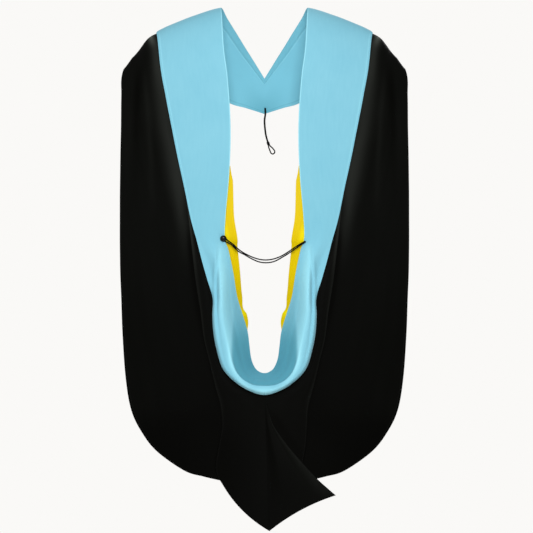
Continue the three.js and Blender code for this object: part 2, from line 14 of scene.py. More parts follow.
import bpy
import numpy as np
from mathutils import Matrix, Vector


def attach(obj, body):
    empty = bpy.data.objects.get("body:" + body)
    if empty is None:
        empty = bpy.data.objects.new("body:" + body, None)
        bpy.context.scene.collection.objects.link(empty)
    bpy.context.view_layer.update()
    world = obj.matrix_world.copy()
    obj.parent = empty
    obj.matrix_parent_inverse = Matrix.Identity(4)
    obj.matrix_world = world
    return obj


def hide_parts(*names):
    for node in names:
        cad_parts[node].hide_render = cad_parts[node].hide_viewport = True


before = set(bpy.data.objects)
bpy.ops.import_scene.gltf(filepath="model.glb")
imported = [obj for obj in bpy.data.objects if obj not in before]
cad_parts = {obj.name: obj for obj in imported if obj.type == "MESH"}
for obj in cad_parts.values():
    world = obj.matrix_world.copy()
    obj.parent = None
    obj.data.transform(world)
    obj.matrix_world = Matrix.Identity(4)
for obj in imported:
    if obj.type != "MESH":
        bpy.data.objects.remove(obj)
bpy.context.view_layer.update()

LOG = logging.getLogger("hood")
MM = 0.001
BODY = "root"

Array = np.ndarray
Surface = Callable[[Array, Array], Array]
Shade = Callable[[Array, Array], Array]
Material = bpy.types.Material
Steps = tuple[int, int, int]
Triple = tuple[float, float, float]


class Side(Enum):
    """Side of the body, as a factor on X."""

    LEFT = -1
    RIGHT = 1


class Facing(Enum):
    """Half of the body that a section lies on."""

    FRONT = -1
    BACK = 1


class Slot(Enum):
    """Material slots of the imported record."""

    VELVET = "velvet"
    SATIN = "satin"
    SHELL = "shell"
    CORD = "cord"
    BUTTON = "button"


FRONT = Facing.FRONT.value
BACK = Facing.BACK.value


def smooth(value: Array) -> Array:
    """Soft step from 0 to 1."""
    share = np.clip(value, 0.0, 1.0)
    return share * share * (3 - 2 * share)


def mound(offset: Array) -> Array:
    """Round bump that is 1 at 0 and dies away near 2."""
    return np.exp(-np.square(offset))


def mix(low: Array, high: Array, share: Array) -> Array:
    """Straight mix of two values."""
    return low + (high - low) * share


def through(values: Array, at: Array, corner: int | None = None) -> Array:
    """Smooth curve through evenly spaced values.

    Args:
        values: The values, one for each whole station.
        at: Stations to read, held inside the table.
        corner: Station where the curve may change its direction at once.

    Returns:
        The curve's value at each station.
    """
    last = len(values) - 1
    place = np.clip(at, 0, last)
    i = np.minimum(np.floor(place).astype(int), last - 1)
    t = place - i
    a = values[np.where(i == corner, i, np.maximum(i - 1, 0))]
    b = values[i]
    c = values[i + 1]
    d = values[np.where(i + 1 == corner, i + 1, np.minimum(i + 2, last))]
    rise = (c - a) / 2
    following = (d - b) / 2
    return b + t * (rise + t * (3 * (c - b) - 2 * rise - following + t * (2 * (b - c) + rise + following)))


@dataclass(frozen=True)
class Table:
    """A table of sections: its columns are named once, with a row for each section."""

    columns: tuple[str, ...]
    rows: tuple[tuple[float, ...], ...]

    def column(self, name: str) -> Array:
        """All values of one column."""
        return np.array([row[self.columns.index(name)] for row in self.rows], float)

    def at(self, name: str, station: Array, corner: int | None = None) -> Array:
        """A column read at stations between its rows."""
        return through(self.column(name), np.asarray(station, float), corner)

    def look_up(self, key: str, name: str, value: Array) -> Array:
        """A column looked up by another one.

        Args:
            key: Column that is looked in, in rising order.
            name: Column that is read.
            value: Values of the key column.

        Returns:
            The read column's values on a smooth curve through the rows.
        """
        keys = self.column(key)
        held = np.clip(value, keys[0], keys[-1])
        i = np.clip(np.searchsorted(keys, held, side="right") - 1, 0, len(keys) - 2)
        return through(self.column(name), i + (held - keys[i]) / (keys[i + 1] - keys[i]))


def strip(rows: tuple[tuple[float, ...], ...]) -> Table:
    """Table of a round strip that runs down a piece."""
    return Table(("row", "across", "width", "strength"), rows)


# Out is a share of the half width, down a share of the length.
SHOULDER = Table(("out", "down"), (
    (0.298, 0.0), (0.498, 0.0165), (0.677, 0.0365), (0.814, 0.0575), (0.924, 0.093), (1.0, 0.119),
))

# Velvet band, from the front neck seam to the middle seam of the rolled rim
BAND = Table(("inner_out", "inner_down", "outer_out", "outer_down", "side", "roll"), (
    (0.0, 0.135, 0.0, 0.203, FRONT, 0),
    (0.075, 0.101, 0.124, 0.192, FRONT, 0),
    (0.149, 0.068, 0.243, 0.182, FRONT, 0),
    (0.224, 0.034, 0.395, 0.161, FRONT, 0),
    (0.268, 0.013, 0.563, 0.123, FRONT, 0),
    (0.298, 0.0, 0.745, 0.048, BACK, 0),
    (0.282, 0.066, 0.718, 0.108, BACK, 0),
    (0.254, 0.131, 0.68, 0.169, BACK, 0),
    (0.236, 0.2, 0.639, 0.228, BACK, 0),
    (0.233, 0.263, 0.596, 0.288, BACK, 0),
    (0.245, 0.33, 0.551, 0.345, BACK, 0),
    (0.267, 0.397, 0.507, 0.404, BACK, 0.01),
    (0.273, 0.442, 0.463, 0.448, BACK, 0.08),
    (0.249, 0.464, 0.429, 0.485, BACK, 0.24),
    (0.217, 0.508, 0.392, 0.521, BACK, 0.48),
    (0.194, 0.552, 0.356, 0.556, BACK, 0.74),
    (0.157, 0.586, 0.358, 0.588, BACK, 0.92),
    (0.121, 0.619, 0.351, 0.621, BACK, 1),
    (0.108, 0.645, 0.33, 0.653, BACK, 1),
    (0.095, 0.67, 0.289, 0.689, BACK, 1),
    (0.07, 0.687, 0.21, 0.714, BACK, 1),
    (0.038, 0.695, 0.11, 0.732, BACK, 1),
    (0.0, 0.698, 0.0, 0.7405, BACK, 1),
))

# The band's curves run on past the middle seam as their own mirror image
PAST_SEAM = BAND.rows[-2]
RUN = Table(BAND.columns, (*BAND.rows, (-PAST_SEAM[0], PAST_SEAM[1], -PAST_SEAM[2], *PAST_SEAM[3:])))

# Rolled rim, by row of the band: where its crest lies across the band, how far its outer side is a
# flat face (1) or a round slope (0), how far its lip hangs over the wall inside, and where the
# painted shade on that wall ends. The last row mirrors the one before the seam.
RIM = Table(("row", "crest", "shelf", "lip", "shade_until"), (
    (12, 0.64, 0, 0, 0.1), (13, 0.52, 0, 0, 0.1), (14, 0.5, 0, 0, 0.12), (15, 0.6, 0.4, 0, 0.18),
    (16, 0.66, 0.9, 0, 0.32), (17, 0.65, 1, 0.1, 0.46), (18, 0.62, 1, 0.35, 0.52), (19, 0.62, 1, 0.7, 0.58),
    (20, 0.69, 1, 1, 0.68), (21, 0.69, 1, 1, 0.69), (22, 0.61, 1, 1, 0.61), (23, 0.69, 1, 1, 0.69),
))

# Painted highlight: a pale strip along the rim's crest
CREST_PAINTED_HIGHLIGHT = strip((
    (12.2, 0.2, 0.1, 0), (13, 0.3, 0.16, 0.42), (14, 0.37, 0.18, 0.7), (15, 0.48, 0.2, 0.68),
    (16, 0.54, 0.17, 0.58), (17, 0.55, 0.12, 0.58), (18, 0.56, 0.08, 0.85), (19, 0.64, 0.08, 0.72),
    (20, 0.74, 0.1, 0.42), (21, 0.92, 0.14, 0.5), (22, 0.94, 0.22, 0.95), (23, 0.92, 0.14, 0.5),
))

# Pleats of the band below the button and the cord's end: a crease and a ridge, in millimetres
BAND_PLEATS = (
    strip((
        (12.2, 0.2, 0.05, 0), (13, 0.36, 0.06, -1.6), (14, 0.6, 0.07, -3.2), (15, 0.79, 0.06, -4.2),
        (16, 0.81, 0.055, -4.6), (17, 0.81, 0.055, -4), (18, 0.82, 0.055, -2.8), (19, 0.83, 0.06, -1.4),
        (20, 0.85, 0.06, 0),
    )),
    strip((
        (12.6, 0.4, 0.05, 0), (13.2, 0.5, 0.06, 1.2), (14, 0.74, 0.07, 2.4), (15, 0.92, 0.06, 2.2),
        (16, 0.92, 0.06, 0.8), (17, 0.92, 0.06, 0),
    )),
)

# Free edge of the satin. Reach is a share of the band at that row of it.
LINING = Table(("row", "reach"), (
    (9.6, 0.01), (10, 0.09), (11, 0.24), (12, 0.46), (13, 0.36), (14, 0.287), (15, 0.256), (15.6, 0.137),
    (16, 0.18), (16.4, 0.142), (16.9, 0.035),
))

# Side panel, from its tapered front end over the shoulder to the hem beside the tail
PANEL = Table(("inner_out", "inner_down", "outer_out", "outer_down", "side"), (
    (0.36, 0.158, 0.46, 0.166, FRONT),
    (0.5, 0.132, 0.72, 0.172, FRONT),
    (0.62, 0.092, 0.93, 0.166, FRONT),
    (0.711, 0.041, 0.988, 0.123, BACK),
    (0.691, 0.104, 0.992, 0.167, BACK),
    (0.649, 0.169, 0.993, 0.225, BACK),
    (0.595, 0.253, 0.997, 0.301, BACK),
    (0.53, 0.33, 1.0, 0.397, BACK),
    (0.471, 0.397, 0.998, 0.492, BACK),
    (0.405, 0.487, 0.99, 0.559, BACK),
    (0.343, 0.579, 0.979, 0.636, BACK),
    (0.288, 0.655, 0.958, 0.712, BACK),
    (0.237, 0.732, 0.92, 0.77, BACK),
    (0.213, 0.789, 0.852, 0.81, BACK),
    (0.216, 0.827, 0.744, 0.848, BACK),
    (0.226, 0.856, 0.553, 0.885, BACK),
    (0.243, 0.885, 0.423, 0.896, BACK),
    (0.26, 0.904, 0.313, 0.903, BACK),
))

# Folds of a side panel: a soft roll beside the band, and a shallow valley outside it, in millimetres
PANEL_FOLDS = (
    strip((
        (2, 0.26, 0.2, 0), (3, 0.26, 0.18, 2), (4, 0.27, 0.17, 4), (5, 0.28, 0.17, 5), (6, 0.28, 0.16, 4.5),
        (7, 0.27, 0.15, 3), (8, 0.27, 0.14, 1.2), (9, 0.27, 0.14, 0),
    )),
    strip((
        (2.4, 0.66, 0.13, 0), (3.5, 0.66, 0.13, -3), (5, 0.7, 0.14, -3), (6, 0.74, 0.13, -2),
        (7.5, 0.8, 0.12, 0),
    )),
)

# Cowl and the two halves of the tail. An inner edge at 0 follows the tail's seam.
SECTION = ("inner_out", "inner_down", "outer_out", "outer_down", "bow", "swell", "under")
COWL_TOP = (
    (0.507, 0.336, 0.552, 0.33, 0, 0, 0.95),
    (0.467, 0.397, 0.526, 0.397, 0, 0.2, 0.85),
    (0.402, 0.454, 0.501, 0.461, 0, 0.5, 0.76),
    (0.334, 0.522, 0.476, 0.521, 0, 0.8, 0.5),
    (0.306, 0.594, 0.443, 0.579, 0, 1, 0.46),
    (0.282, 0.65, 0.42, 0.63, 0, 1, 0.55),
    (0.222, 0.692, 0.385, 0.672, 0, 1, 0.6),
    (0.125, 0.72, 0.343, 0.722, 0, 1, 0.46),
)
COWL_LEFT = Table(SECTION, COWL_TOP + (
    (0.0, 0.73, 0.306, 0.762, 0, 0.9, 0.32),
    (0.0, 0.78, 0.296, 0.8, 0, 0.8, 0.04),
    (0.0, 0.846, 0.322, 0.84, 0, 0.7, 0),
    (0.0, 0.9, 0.341, 0.875, 0.04, 0.6, 0),
    (0.0, 0.955, 0.328, 0.893, 0.07, 0.4, 0),
    (0.0, 1.0, 0.301, 0.905, 0.075, 0.2, 0),
))
COWL_RIGHT = Table(SECTION, COWL_TOP + (
    (0.0, 0.73, 0.306, 0.762, 0, 0.6, 0.32),
    (0.0, 0.78, 0.296, 0.8, 0, 0.2, 0.04),
    (0.0, 0.82, 0.29, 0.83, 0, 0, 0),
    (0.0, 0.85, 0.272, 0.862, 0, 0, 0),
    (0.0, 0.88, 0.25, 0.89, 0, 0, 0),
))
FLAP = Table(SECTION, (
    (0.0, 0.757, 0.022, 0.76, 0, 0, 0),
    (0.0, 0.789, 0.055, 0.795, 0, 0.3, 0),
    (0.0, 0.827, 0.141, 0.831, 0, 0.7, 0),
    (0.0, 0.875, 0.251, 0.867, 0, 1, 0),
    (0.0, 0.923, 0.361, 0.9, -0.015, 0.9, 0),
    (0.0, 0.965, 0.436, 0.919, -0.03, 0.6, 0),
    (0.0, 1.0, 0.49, 0.932, -0.045, 0.4, 0),
))

# Routes of the two cords in millimetres
BACK_UPPER = (
    (93.7, -112.9, -535.7), (85, -113.1, -541), (76, -113.9, -546.3), (58, -115.2, -558.4),
    (40.5, -116.2, -569.4), (22.7, -116.8, -576.6), (5, -117, -579.4), (-12.4, -117, -577.8),
    (-30, -117, -572), (-45.4, -117, -564.4), (-54.2, -117, -559), (-62.1, -117, -552.7),
)
BACK_LOWER = (
    (94.5, -115.7, -537.3), (86.2, -115.8, -543), (77.4, -116, -549), (59.4, -116.3, -561.6),
    (41, -116.4, -573), (22.7, -116.9, -582.6), (5, -117, -585.8), (-12.4, -117, -583.8),
    (-30, -117, -576.4), (-46.2, -117, -567), (-56.4, -117, -561.9), (-64.5, -117, -555.5),
)
BACK_LOOP = (
    (-72.1, -117, -543.3), (-77.9, -116.2, -539.2), (-83, -114.9, -535.5), (-86.8, -113.3, -532),
    (-89.6, -113, -527.6), (-93.4, -113, -525.3), (-97, -113, -525.9), (-98.8, -113, -527.7),
    (-99.2, -113, -529.8), (-98.3, -113, -532.6), (-94.9, -112.9, -535.4), (-90, -112.9, -537.1),
    (-85.1, -114.4, -539.2), (-79.8, -116.2, -542.2), (-74.3, -117, -545.6),
)
BACK_KNOT = (-68.2, -117, -549.3)
BACK_KNOT_AXIS = (-0.72, 0, 0.694)
FRONT_LEFT = (
    (0.9, 90.9, -229.4), (1.4, 90.9, -243), (-0.5, 90.9, -258), (0.2, 90.9, -273.7),
    (2.4, 90.9, -291.1), (6, 90.9, -305), (6.7, 90.9, -306.9),
)
FRONT_RIGHT = (
    (2.2, 87.9, -229.4), (2.7, 87.9, -243), (0.8, 87.9, -258), (1.5, 87.9, -273.7),
    (3.7, 87.9, -291.1), (7.2, 87.9, -305), (7.9, 87.9, -306.6),
)
FRONT_LOOP = (
    (8.7, 89.4, -315.3), (9.9, 89.4, -321), (12.4, 89.4, -327.6), (14.7, 89.4, -333),
    (18.8, 89.4, -335.6), (22.9, 89.4, -333.2), (23.4, 89.4, -328.9), (20.9, 89.4, -324.9),
    (16.9, 89.4, -320.4), (13.8, 89.4, -317.8), (11.9, 89.4, -315.6),
)
FRONT_KNOT = (8.5, 89.4, -310.9)
FRONT_KNOT_AXIS = (0.287, 0, -0.958)


@dataclass(frozen=True)
class WornForm:
    """Form that the cloth lies on: a shoulder line, a round over it, and the hang below."""

    length: float = 1.2
    half_width: float = 0.334
    back_depth: float = 0.112
    front_depth: float = 0.095
    shoulder_round: float = 0.165
    back_wrap: float = 0.55
    front_wrap: float = 0.35
    hang_lean: float = 0.02

    def shoulder(self, out: Array) -> Array:
        """Height of the shoulder line at a distance out."""
        return -self.length * SHOULDER.look_up("out", "down", np.abs(out))

    def turn(self, out: Array, down: Array, side: Array) -> Array:
        """How far round the shoulder a point lies: 0 on top, negative at the front.

        Args:
            out: Distances out, as shares of the half width.
            down: Distances down, as shares of the length.
            side: Half of the body that each point lies on.

        Returns:
            The turns.
        """
        drop = np.maximum(self.shoulder(out) + self.length * down, 0)
        on_round = np.arccos(np.clip(1 - drop / self.shoulder_round, -1, 1))
        hanging = math.pi / 2 + (drop - self.shoulder_round) / self.shoulder_round
        return side * np.where(drop < self.shoulder_round, on_round, hanging)

    def point(self, out: Array, turn: Array) -> Array:
        """Point on the form at a distance out and a turn round the shoulder.

        Args:
            out: Distances out, as shares of the half width.
            turn: Turns round the shoulder.

        Returns:
            One place for each distance and turn.
        """
        round_turn = np.minimum(np.abs(turn), math.pi / 2)
        hang = self.shoulder_round * (np.abs(turn) - round_turn)
        bulge = np.sin(round_turn)
        back = -self.back_depth * (1 - self.back_wrap * out * out) * bulge - self.hang_lean * hang
        front = self.front_depth * (1 - self.front_wrap * out * out) * bulge
        drop = self.shoulder_round * (1 - np.cos(round_turn)) + hang
        depth = np.where(turn > 0, back, front)
        return np.stack([out * self.half_width, depth, self.shoulder(out) - drop], axis=-1)

    def raised(self, out: Array, turn: Array, height: Array) -> Array:
        """Point raised off the form, away from the wearer."""
        inward = normals_of(self.point, out, turn)
        return self.point(out, turn) - inward * np.asarray(height)[..., None]


def normals_of(surface: Surface, u: Array, v: Array, step: float = 1e-3) -> Array:
    """Unit normals of a surface from its two directions.

    Args:
        surface: The surface.
        u: First coordinates.
        v: Second coordinates.
        step: How far apart the surface is read.

    Returns:
        One normal for each pair of coordinates.
    """
    along_u = surface(u + step, v) - surface(u - step, v)
    along_v = surface(u, v + step) - surface(u, v - step)
    normal = np.cross(along_u, along_v)
    return normal / np.maximum(np.linalg.norm(normal, axis=-1, keepdims=True), 1e-12)


def mounds(strips: Sequence[Table], at: Array, across: Array) -> Array:
    """Sum of round strips that run down a piece, each with a table of its own.

    Args:
        strips: Where each strip lies across its rows, how wide it is and how strong.
        at: Rows of the piece.
        across: Shares across the piece.

    Returns:
        The sum at each place.
    """
    total = np.zeros(np.broadcast(at, across).shape)
    for table in strips:
        offset = (across - table.look_up("row", "across", at)) / table.look_up("row", "width", at)
        total = total + table.look_up("row", "strength", at) * mound(offset)
    return total


def pleated(pleats: Sequence[Table], at: Array, across: Array) -> Array:
    """Height of pleats or folds in metres, from strips in millimetres."""
    return MM * mounds(pleats, at, across)


@dataclass(frozen=True)
class PaintedLight:
    """Painted light and shadow on black cloth, from 0 to 1: a tone for each row, and strips on it."""

    tone: Table
    strips: tuple[Table, ...]

    def shade(self, at: Array, across: Array) -> Array:
        """Painted light and shadow at places of the piece.

        Args:
            at: Rows of the piece.
            across: Shares across it, 0 at the inner edge and 1 at the outer one.

        Returns:
            Painted light and shadow, from 0 to 1.
        """
        inner = self.tone.look_up("row", "inner", at)
        outer = self.tone.look_up("row", "outer", at)
        return np.clip(mix(inner, outer, across) + mounds(self.strips, at, across), 0, 1)


# Painted light and shadow on the black pieces, by row: its tone at both edges, and the strips on it
TONE = ("row", "inner", "outer")
PANEL_PAINTED_LIGHT = PaintedLight(
    Table(TONE, (
        (0, 0.2, 0.2), (6, 0.2, 0.2), (7, 0.19, 0.19), (8, 0.175, 0.18), (9, 0.155, 0.17),
        (10, 0.13, 0.155), (11, 0.11, 0.15), (12, 0.09, 0.14), (13, 0.03, 0.08), (14, 0.02, 0.05),
        (17, 0.02, 0.05),
    )),
    (
        # Painted highlight beside the band and at the shoulder
        strip((
            (2.7, 0.24, 0.06, 0), (3.05, 0.26, 0.08, 0.8), (3.3, 0.23, 0.09, 0.6), (3.6, 0.17, 0.12, 0.3),
            (4, 0.14, 0.15, 0.28), (5, 0.12, 0.2, 0.24), (5.6, 0.16, 0.16, 0.22), (6.2, 0.13, 0.14, 0.26),
            (7, 0.12, 0.13, 0.27), (7.7, 0.17, 0.08, 0.2), (8.2, 0.18, 0.08, 0.13), (8.7, 0.2, 0.08, 0.05),
            (9.2, 0.22, 0.08, 0),
        )),
        strip((
            (3.8, 0.46, 0.05, 0), (4.4, 0.47, 0.06, 0.05), (5.4, 0.47, 0.06, 0.08), (6.2, 0.49, 0.05, 0.06),
            (7, 0.52, 0.05, 0.03), (7.6, 0.54, 0.05, 0),
        )),
        strip((
            (3.4, 0.64, 0.1, 0), (4.3, 0.66, 0.1, -0.06), (5.3, 0.72, 0.08, -0.06),
            (6.2, 0.76, 0.08, -0.03), (7.2, 0.8, 0.08, 0),
        )),
        # Painted shadow beside the cowl's edge
        strip((
            (8, 0.12, 0.02, 0), (8.5, 0.14, 0.03, -0.12), (9.4, 0.155, 0.035, -0.14),
            (10, 0.155, 0.035, -0.12), (11, 0.12, 0.04, -0.12), (12, 0.11, 0.04, -0.1), (13, 0.12, 0.04, 0),
        )),
    ),
)
EDGE_LIT = (
    strip((
        (0, 0.97, 0.3, 0.26), (1, 0.93, 0.2, 0.3), (2, 0.92, 0.12, 0.22), (3, 0.93, 0.09, 0.13),
        (5, 0.95, 0.06, 0.12), (7, 0.95, 0.05, 0.09), (9, 0.98, 0.03, 0.03), (10, 0.98, 0.03, 0),
    )),
)
COWL_LEFT_PAINTED_LIGHT = PaintedLight(
    Table(TONE, (
        (0, 0.2, 0.2), (2, 0.16, 0.18), (5, 0.12, 0.14), (8, 0.12, 0.12), (9, 0.14, 0.08), (10, 0.15, 0.01),
        (11, 0.14, 0.01), (13, 0.12, 0.07),
    )),
    EDGE_LIT,
)
COWL_RIGHT_PAINTED_LIGHT = PaintedLight(
    Table(TONE, (
        (0, 0.2, 0.2), (2, 0.16, 0.18), (5, 0.12, 0.14), (8, 0.13, 0.13), (9, 0.12, 0.1), (12, 0.08, 0.08),
    )),
    (
        *EDGE_LIT,
        # Painted shadow of the flap on the cowl
        strip((
            (8.6, 0.05, 0.1, 0), (9, 0.24, 0.12, -0.08), (10, 0.56, 0.14, -0.08), (11, 0.95, 0.2, -0.08),
            (12, 1.2, 0.2, -0.08),
        )),
    ),
)
FLAP_PAINTED_LIGHT = PaintedLight(
    Table(TONE, (
        (0, 0.12, 0.12), (1, 0.09, 0.18), (6, 0.1, 0.17),
    )),
    (
        strip((
            (0, 1, 0.3, 0), (1, 0.96, 0.2, 0.1), (5, 0.94, 0.14, 0.08), (6, 0.94, 0.14, 0.02),
        )),
    ),
)


FORM = WornForm()
SEAM_GAP = -0.1 * MM
SEAM_TOP = 0.73
SEAM_LEAN = 0.126
VELVET_WALL = 2.2 * MM
SHELL_WALL = 1.4 * MM
LAYER_GAP = 0.9 * MM


def seam_out(down: Array) -> Array:
    """How far the tail's seam leans right, as a share of the half width."""
    return SEAM_LEAN * np.maximum(down - SEAM_TOP, 0)


def beside_seam(points: Array) -> Array:
    """How far points lie from the middle seam, or from the tail's leaning one further down."""
    return np.abs(points[..., 0] - FORM.half_width * seam_out(-points[..., 2] / FORM.length))


def hold_to_side(points: Array, side: Side) -> Array:
    """Keeps points on one side of the middle seam, or of the tail's leaning one further down.

    Args:
        points: Places to hold.
        side: Side that they are held to.

    Returns:
        The places, with none past the seam.
    """
    seam = FORM.half_width * seam_out(-points[..., 2] / FORM.length)
    beside = np.maximum(side.value * (points[..., 0] - seam), SEAM_GAP / 2)
    held = points.copy()
    held[..., 0] = seam + side.value * beside
    return held


def ripple(points: Array, pitch: float, seed: int) -> Array:
    """Slow random waves over a surface, between about -1 and 1.

    Args:
        points: Places on the surface.
        pitch: Rough length of a wave in metres.
        seed: Seed of the waves' directions.

    Returns:
        One height for each place.
    """
    draw = np.random.default_rng(seed)
    total = np.zeros(points.shape[:-1])
    waves = 7
    for _ in range(waves):
        direction = draw.normal(size=3)
        direction *= 2 * math.pi / (pitch * draw.uniform(0.7, 1.6) * np.linalg.norm(direction))
        total += np.sin(points @ direction + draw.uniform(0, 2 * math.pi))
    return total / math.sqrt(waves)


def edges_of(table: Table) -> list[tuple[Array, Array]]:
    """Distance out and turn round the shoulder, of a table's inner edge and of its outer one.

    Args:
        table: Table with inner and outer edges.

    Returns:
        Both edges, the inner one first.
    """
    side = table.column("side") if "side" in table.columns else BACK
    outs = (table.column("inner_out"), table.column("outer_out"))
    downs = (table.column("inner_down"), table.column("outer_down"))
    return [(out, FORM.turn(out, down, side)) for out, down in zip(outs, downs)]


def stations_of(table: Table, pitch: float) -> Array:
    """Stations down a table whose rows are at most a pitch apart.

    Args:
        table: Table with inner and outer edges.
        pitch: Longest step in metres.

    Returns:
        Stations from the first row to the last.
    """
    longest = np.zeros(len(table.rows) - 1)
    for out, turns in edges_of(table):
        steps = np.diff(FORM.point(out, turns), axis=0)
        longest = np.maximum(longest, np.linalg.norm(steps, axis=1))
    stations = [0.0]
    for i, length in enumerate(longest):
        count = max(math.ceil(length / pitch), 2)
        stations.extend(i + np.arange(1, count + 1) / count)
    return np.array(stations)


def link(name: str, mesh: bpy.types.Mesh) -> bpy.types.Object:
    """Puts a mesh into the scene as a named object at the origin.

    Args:
        name: Name of the object.
        mesh: Its mesh.

    Returns:
        The object.
    """
    made = bpy.data.objects.new(name, mesh)
    bpy.context.scene.collection.objects.link(made)
    return made


def mesh_of(name: str, points: Array, faces: Sequence, flat: Array | None = None) -> bpy.types.Mesh:
    """Smooth-shaded mesh from points and faces.

    Args:
        name: Name of the mesh.
        points: One place a vertex.
        faces: Vertex numbers of each face.
        flat: Place of each vertex on the flat cloth in metres, for the UV map.

    Returns:
        The mesh.
    """
    mesh = bpy.data.meshes.new(name)
    mesh.from_pydata(points.tolist(), [], faces)
    if flat is not None:
        layer = mesh.uv_layers.new(name="flat")
        corners = np.zeros(len(mesh.loops), int)
        mesh.loops.foreach_get("vertex_index", corners)
        layer.data.foreach_set("uv", flat[corners].astype(np.float32).ravel())
    mesh.shade_smooth()
    mesh.validate()
    return mesh


def run_along(line: Array) -> Array:
    """Distance of each place of a line from its start, along it."""
    return np.concatenate([[0], np.cumsum(np.linalg.norm(np.diff(line, axis=0), axis=1))])


def rim_of(rows: int, columns: int) -> Array:
    """Vertex numbers round the edge of a grid, in order."""
    grid = np.arange(rows * columns).reshape(rows, columns)
    return np.concatenate([grid[0, :-1], grid[:-1, -1], grid[-1, :0:-1], grid[:0:-1, 0]])


def inward_of(rows: int, columns: int) -> Array:
    """For each vertex of the rim, the vertex beside it inside the grid."""
    grid = np.arange(rows * columns).reshape(rows, columns)
    return np.concatenate([grid[1, :-1], grid[:-1, -2], grid[-2, :0:-1], grid[:0:-1, 1]])


@dataclass
class Cloth:
    """A closed wall of cloth with a rounded edge."""

    name: str
    surface: Surface
    stations: Array
    across: Array
    wall: float | Shade
    side: Side | None = None
    flip: bool = field(init=False, default=False)

    EDGE_ANGLES = (0.2, 0.4, 0.6, 0.8)
    EDGE_SHARE = 0.45
    SEWN_REACH = 0.3 * MM
    SHARP_ANGLE = math.radians(55)
    PROBE_SHARE = 0.6

    def outer(self) -> tuple[Array, Array, Array, Array]:
        """Coordinates of the grid, its outer face and its outward normals.

        Returns:
            Both coordinates, the places and the normals.
        """
        u, v = np.meshgrid(self.stations, self.across, indexing="ij")
        points = self.surface(u, v)
        normals = normals_of(self.surface, u, v)
        probe = normals[int(len(self.stations) * self.PROBE_SHARE), len(self.across) // 2]
        self.flip = bool(probe[1] > 0)
        if self.flip:
            normals = -normals
        return u, v, points, normals

    def mesh(self, **shades: Shade) -> bpy.types.Mesh:
        """Builds the wall.

        Args:
            **shades: Attributes by name, each from 0 to 1 by a vertex's two coordinates.

        Returns:
            The closed mesh, with a UV map in metres of flat cloth and the attributes.
        """
        u, v, outer, normals = self.outer()
        rows, columns = u.shape
        thickness = self.wall(u, v) if callable(self.wall) else np.full(u.shape, self.wall)
        inner = outer - normals * thickness[..., None]
        if self.side is not None:
            outer = hold_to_side(outer, self.side)
            inner = hold_to_side(inner, self.side)
        flat = self.flat_places(outer)
        outside = outer.reshape(-1, 3)
        inside = inner.reshape(-1, 3)
        rim = rim_of(rows, columns)
        outward = outside[rim] - outside[inward_of(rows, columns)]
        beside = np.maximum(np.linalg.norm(outward, axis=1, keepdims=True), 1e-12)
        outward /= beside
        half = (outside[rim] - inside[rim]) / 2
        reach = np.minimum(np.linalg.norm(half, axis=1, keepdims=True), self.EDGE_SHARE * beside)
        if self.side is not None:
            reach[beside_seam(outside[rim]) < self.SEWN_REACH] = 0
        outside[rim] -= outward * reach
        inside[rim] -= outward * reach
        middle = (outside[rim] + inside[rim]) / 2
        rounds = []
        for share in self.EDGE_ANGLES:
            angle = share * math.pi
            ring = middle + half * math.cos(angle) + outward * reach * math.sin(angle)
            rounds.append(ring if self.side is None else hold_to_side(ring, self.side))
        points = np.concatenate([outside, inside, *rounds])
        total = rows * columns
        grid = np.arange(total).reshape(rows, columns)
        quads = np.stack([grid[:-1, :-1], grid[1:, :-1], grid[1:, 1:], grid[:-1, 1:]], axis=-1).reshape(-1, 4)
        faces = [quads, quads[:, ::-1] + total]
        rings = [rim]
        rings += [2 * total + len(rim) * k + np.arange(len(rim)) for k in range(len(rounds))]
        rings.append(rim + total)
        for near, far in zip(rings, rings[1:]):
            faces.append(np.stack([near, np.roll(near, -1), np.roll(far, -1), far], axis=-1))
        joined = np.concatenate(faces)
        if self.flip:
            joined = joined[:, ::-1]
        edge_flat = flat.reshape(-1, 2)[rim]
        all_flat = np.concatenate([flat.reshape(-1, 2)] * 2 + [edge_flat] * len(rounds))
        mesh = mesh_of(self.name, points, joined.tolist(), all_flat)
        mesh.set_sharp_from_angle(angle=self.SHARP_ANGLE)
        for name, shade_at in shades.items():
            shade = np.broadcast_to(shade_at(u, v), u.shape).reshape(-1)
            values = np.concatenate([shade, shade] + [shade[rim]] * len(rounds))
            layer = mesh.attributes.new(name, "FLOAT", "POINT")
            layer.data.foreach_set("value", values.astype(np.float32))
        return mesh

    @staticmethod
    def flat_places(outer: Array) -> Array:
        """Place of each point on the flat cloth, in metres.

        Args:
            outer: Grid of places on the outer face.

        Returns:
            Distances across and down the flat cloth.
        """
        along = np.linalg.norm(np.diff(outer, axis=0), axis=-1).mean(axis=1)
        beside = np.linalg.norm(np.diff(outer, axis=1), axis=-1)
        down = np.concatenate([[0], np.cumsum(along)])
        over = np.concatenate([np.zeros((len(outer), 1)), np.cumsum(beside, axis=1)], axis=1)
        return np.stack([over, np.broadcast_to(down[:, None], over.shape)], axis=-1)

    def line(self, u: Array, v: Array, lift: float) -> Array:
        """Places along a line on the outer face, raised by a small lift.

        Args:
            u: First coordinates of the line.
            v: Second coordinates of the line.
            lift: Height over the face in metres.

        Returns:
            The raised places.
        """
        points = self.surface(u, v)
        normals = normals_of(self.surface, u, v)
        return points + normals * (-lift if self.flip else lift)


# Materials

def tint(red: int, green: int, blue: int) -> tuple[float, float, float, float]:
    """Scene colour of a screen colour given in steps of 255.

    Args:
        red: Red in steps of 255.
        green: Green in steps of 255.
        blue: Blue in steps of 255.

    Returns:
        The colour with its alpha.
    """
    channels = []
    for step in (red, green, blue):
        share = step / 255
        channels.append(share / 12.92 if share <= 0.04045 else ((share + 0.055) / 1.055) ** 2.4)
    return (*channels, 1.0)


